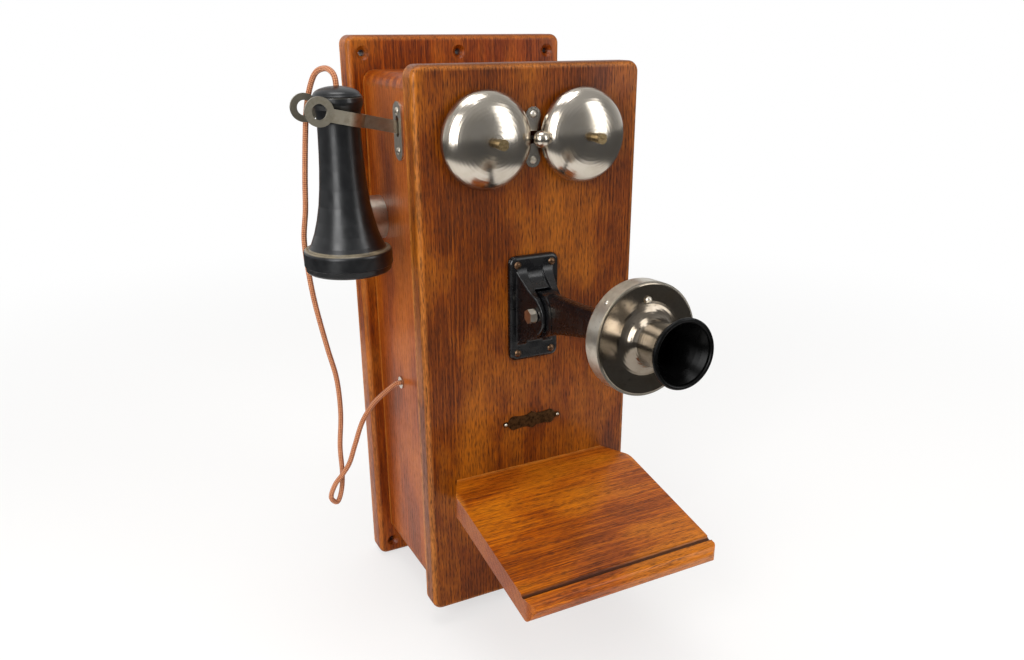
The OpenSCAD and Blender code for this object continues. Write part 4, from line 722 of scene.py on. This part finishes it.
# Yarn height = fuzz noise plus the product of two helix sines of the cord's own UV map, where u goes
# round it and v is mm along it; the height picks the colour, painted shade where low and painted highlight
# where high, and gives the relief.
def braidedCotton(name, braid, yarn):
    material, tree, shader = newMaterial(name, Roughness=0.85, Sheen_Weight=0.3, Sheen_Roughness=0.5)
    uv = addNode(tree, "ShaderNodeUVMap", {"uv_map": "UVMap"})
    parts = addNode(tree, "ShaderNodeSeparateXYZ", None, {0: uv.outputs[0]})
    perTurn = 2 * math.pi * (braid["strands"] / 2)
    around = addNode(tree, "ShaderNodeMath", {"operation": "MULTIPLY"}, {0: parts.outputs[0], 1: perTurn})
    along = addNode(tree, "ShaderNodeMath", {"operation": "MULTIPLY"}, {
        0: parts.outputs[1], 1: perTurn / braid["braidPitch"]})
    sines = []
    for way in ("ADD", "SUBTRACT"):
        helix = addNode(tree, "ShaderNodeMath", {"operation": way}, {
            0: around.outputs[0], 1: along.outputs[0]})
        sine = addNode(tree, "ShaderNodeMath", {"operation": "SINE"}, {0: helix.outputs[0]})
        sines.append(sine.outputs[0])
    product = addNode(tree, "ShaderNodeMath", {"operation": "MULTIPLY"}, {0: sines[0], 1: sines[1]})
    place = addNode(tree, "ShaderNodeTexCoord")
    fuzz = addNode(tree, "ShaderNodeTexNoise", None, {
        "Vector": place.outputs["Object"], "Scale": yarn["fuzzCells"], "Detail": 4.0, "Roughness": 0.7})
    height = addNode(tree, "ShaderNodeMath", {"operation": "MULTIPLY_ADD"}, {
        0: fuzz.outputs["Fac"], 1: yarn["fuzz"], 2: product.outputs[0]})
    colour = addNode(tree, "ShaderNodeValToRGB", None, {"Fac": height.outputs[0]},
                     [(0.0, yarn["hollow"]), (0.45, yarn["side"]), (0.95, yarn["crown"])])
    bump = addNode(tree, "ShaderNodeBump", None, {
        "Height": height.outputs[0], "Strength": yarn["relief"], "Distance": yarn["high"]})
    tree.links.new(colour.outputs[0], shader.inputs["Base Color"])
    tree.links.new(bump.outputs[0], shader.inputs["Normal"])
    return material


dress(braidedCotton("braidedCottonCord", cordFacts, yarnFacts), "cottonCord")
print("materials made")

stageFacts = {
    "floorZ": -0.2565, "floorHalf": 12.0, "floorColour": "#EDEBE8",
    "nearWhite": 0.45, "allWhite": 1.5,   # the floor fades into the white backdrop between these distances
    "whiteNear": 0.6,                     # how white the camera sees it up to the nearer of them
    "paperEdge": 0.72, "edgeWidth": 0.12, "darkFloor": 0.1,   # past the edge the gloss of metal finds this
    "wallFront": 0.27, "wallBack": 0.85, "wallTurn": (-0.5, 0.6),   # y of the direction where each is whole
    "ceiling": 0.5, "ceilingFull": 0.8,   # z of the direction where the ceiling has its whole strength
}
lampFacts = {
    "leftSoftbox": {"place": (-1.5, -1.25, 0.75), "target": (0, -0.1, 0), "size": (0.8, 1.6), "power": 30},
    "rightSoftbox": {"place": (1.35, -1.6, 0.8), "target": (0, -0.15, 0), "size": (0.8, 1.6), "power": 15},
    "topSoftbox": {"place": (-0.2, -0.3, 1.9), "target": (0, -0.1, 0), "size": (1.2, 1.0), "power": 16},
}


# The floor is a plain pale diffuse surface that keeps shadows. For camera rays it is mixed with white by
# distance from the middle, and for glossy rays it turns dark past the edge of the paper.
def makeFloor(facts):
    side = np.linspace(-facts["floorHalf"], facts["floorHalf"], 3)
    x, y = np.meshgrid(side, side)
    floor = gridMesh("studioFloor", np.stack([x, y, np.full_like(x, facts["floorZ"])], -1))
    material, tree, shader = newMaterial(
        "paleFloor", Roughness=0.9, Base_Color=linearColour(facts["floorColour"]))
    place = addNode(tree, "ShaderNodeTexCoord")
    away = addNode(tree, "ShaderNodeVectorMath", {"operation": "LENGTH"}, {0: place.outputs["Object"]})
    fade = addNode(tree, "ShaderNodeMapRange", {"interpolation_type": "SMOOTHSTEP"}, {
        "Value": away.outputs["Value"], "From Min": facts["nearWhite"], "From Max": facts["allWhite"],
        "To Min": facts["whiteNear"]})
    dark = addNode(tree, "ShaderNodeMapRange", {"interpolation_type": "SMOOTHSTEP"}, {
        "Value": away.outputs["Value"], "From Min": facts["paperEdge"],
        "From Max": facts["paperEdge"] + facts["edgeWidth"]})
    rays = addNode(tree, "ShaderNodeLightPath")
    seen = addNode(tree, "ShaderNodeMath", {"operation": "MULTIPLY"}, {
        0: fade.outputs[0], 1: rays.outputs["Is Camera Ray"]})
    mirrored = addNode(tree, "ShaderNodeMath", {"operation": "MULTIPLY"}, {
        0: dark.outputs[0], 1: rays.outputs["Is Glossy Ray"]})
    white = addNode(tree, "ShaderNodeEmission", None, {"Color": (1, 1, 1, 1), "Strength": 1.0})
    dim = addNode(tree, "ShaderNodeEmission", None, {"Color": (1, 1, 1, 1), "Strength": facts["darkFloor"]})
    lit = addNode(tree, "ShaderNodeMixShader", None, {
        0: seen.outputs[0], 1: shader.outputs[0], 2: white.outputs[0]})
    both = addNode(tree, "ShaderNodeMixShader", None, {
        0: mirrored.outputs[0], 1: lit.outputs[0], 2: dim.outputs[0]})
    tree.links.new(both.outputs[0], tree.nodes["Material Output"].inputs["Surface"])
    floor.data.materials.append(material)


def makeLamp(name, facts):
    data = bpy.data.lights.new(name, "AREA")
    data.shape = "RECTANGLE"
    data.size, data.size_y = facts["size"]
    data.energy = facts["power"]
    lamp = bpy.data.objects.new(name, data)
    bpy.context.scene.collection.objects.link(lamp)
    lamp.location = facts["place"]
    heading = Vector(facts["target"]) - Vector(facts["place"])
    lamp.rotation_euler = heading.to_track_quat("-Z", "Y").to_euler()


# A studio: white backdrop behind the object, dark room behind the camera, grey ceiling; white for the camera.
def makeWorld(facts):
    world = bpy.data.worlds.new("studio")
    bpy.context.scene.world = world
    world.use_nodes = True
    tree = world.node_tree
    back = tree.nodes["Background"]
    direction = addNode(tree, "ShaderNodeTexCoord")
    parts = addNode(tree, "ShaderNodeSeparateXYZ", None, {0: direction.outputs["Generated"]})
    wall = addNode(tree, "ShaderNodeMapRange", {"interpolation_type": "SMOOTHSTEP"}, {
        "Value": parts.outputs[1], "From Min": facts["wallTurn"][0], "From Max": facts["wallTurn"][1],
        "To Min": facts["wallFront"], "To Max": facts["wallBack"]})
    up = addNode(tree, "ShaderNodeMapRange", {"interpolation_type": "SMOOTHSTEP"}, {
        "Value": parts.outputs[2], "From Min": 0.0, "From Max": facts["ceilingFull"],
        "To Max": facts["ceiling"]})
    room = addNode(tree, "ShaderNodeMath", {"operation": "MAXIMUM"}, {0: wall.outputs[0], 1: up.outputs[0]})
    rays = addNode(tree, "ShaderNodeLightPath")
    final = addNode(tree, "ShaderNodeMix", {"data_type": "RGBA"}, {
        0: rays.outputs["Is Camera Ray"], 6: room.outputs[0], 7: (1, 1, 1, 1)})
    tree.links.new(final.outputs[2], back.inputs["Color"])
    back.inputs["Strength"].default_value = 1.0


makeFloor(stageFacts)
for name, facts in lampFacts.items():
    makeLamp(name, facts)
makeWorld(stageFacts)
bpy.context.scene.view_settings.view_transform = "Standard"
print("stage made")
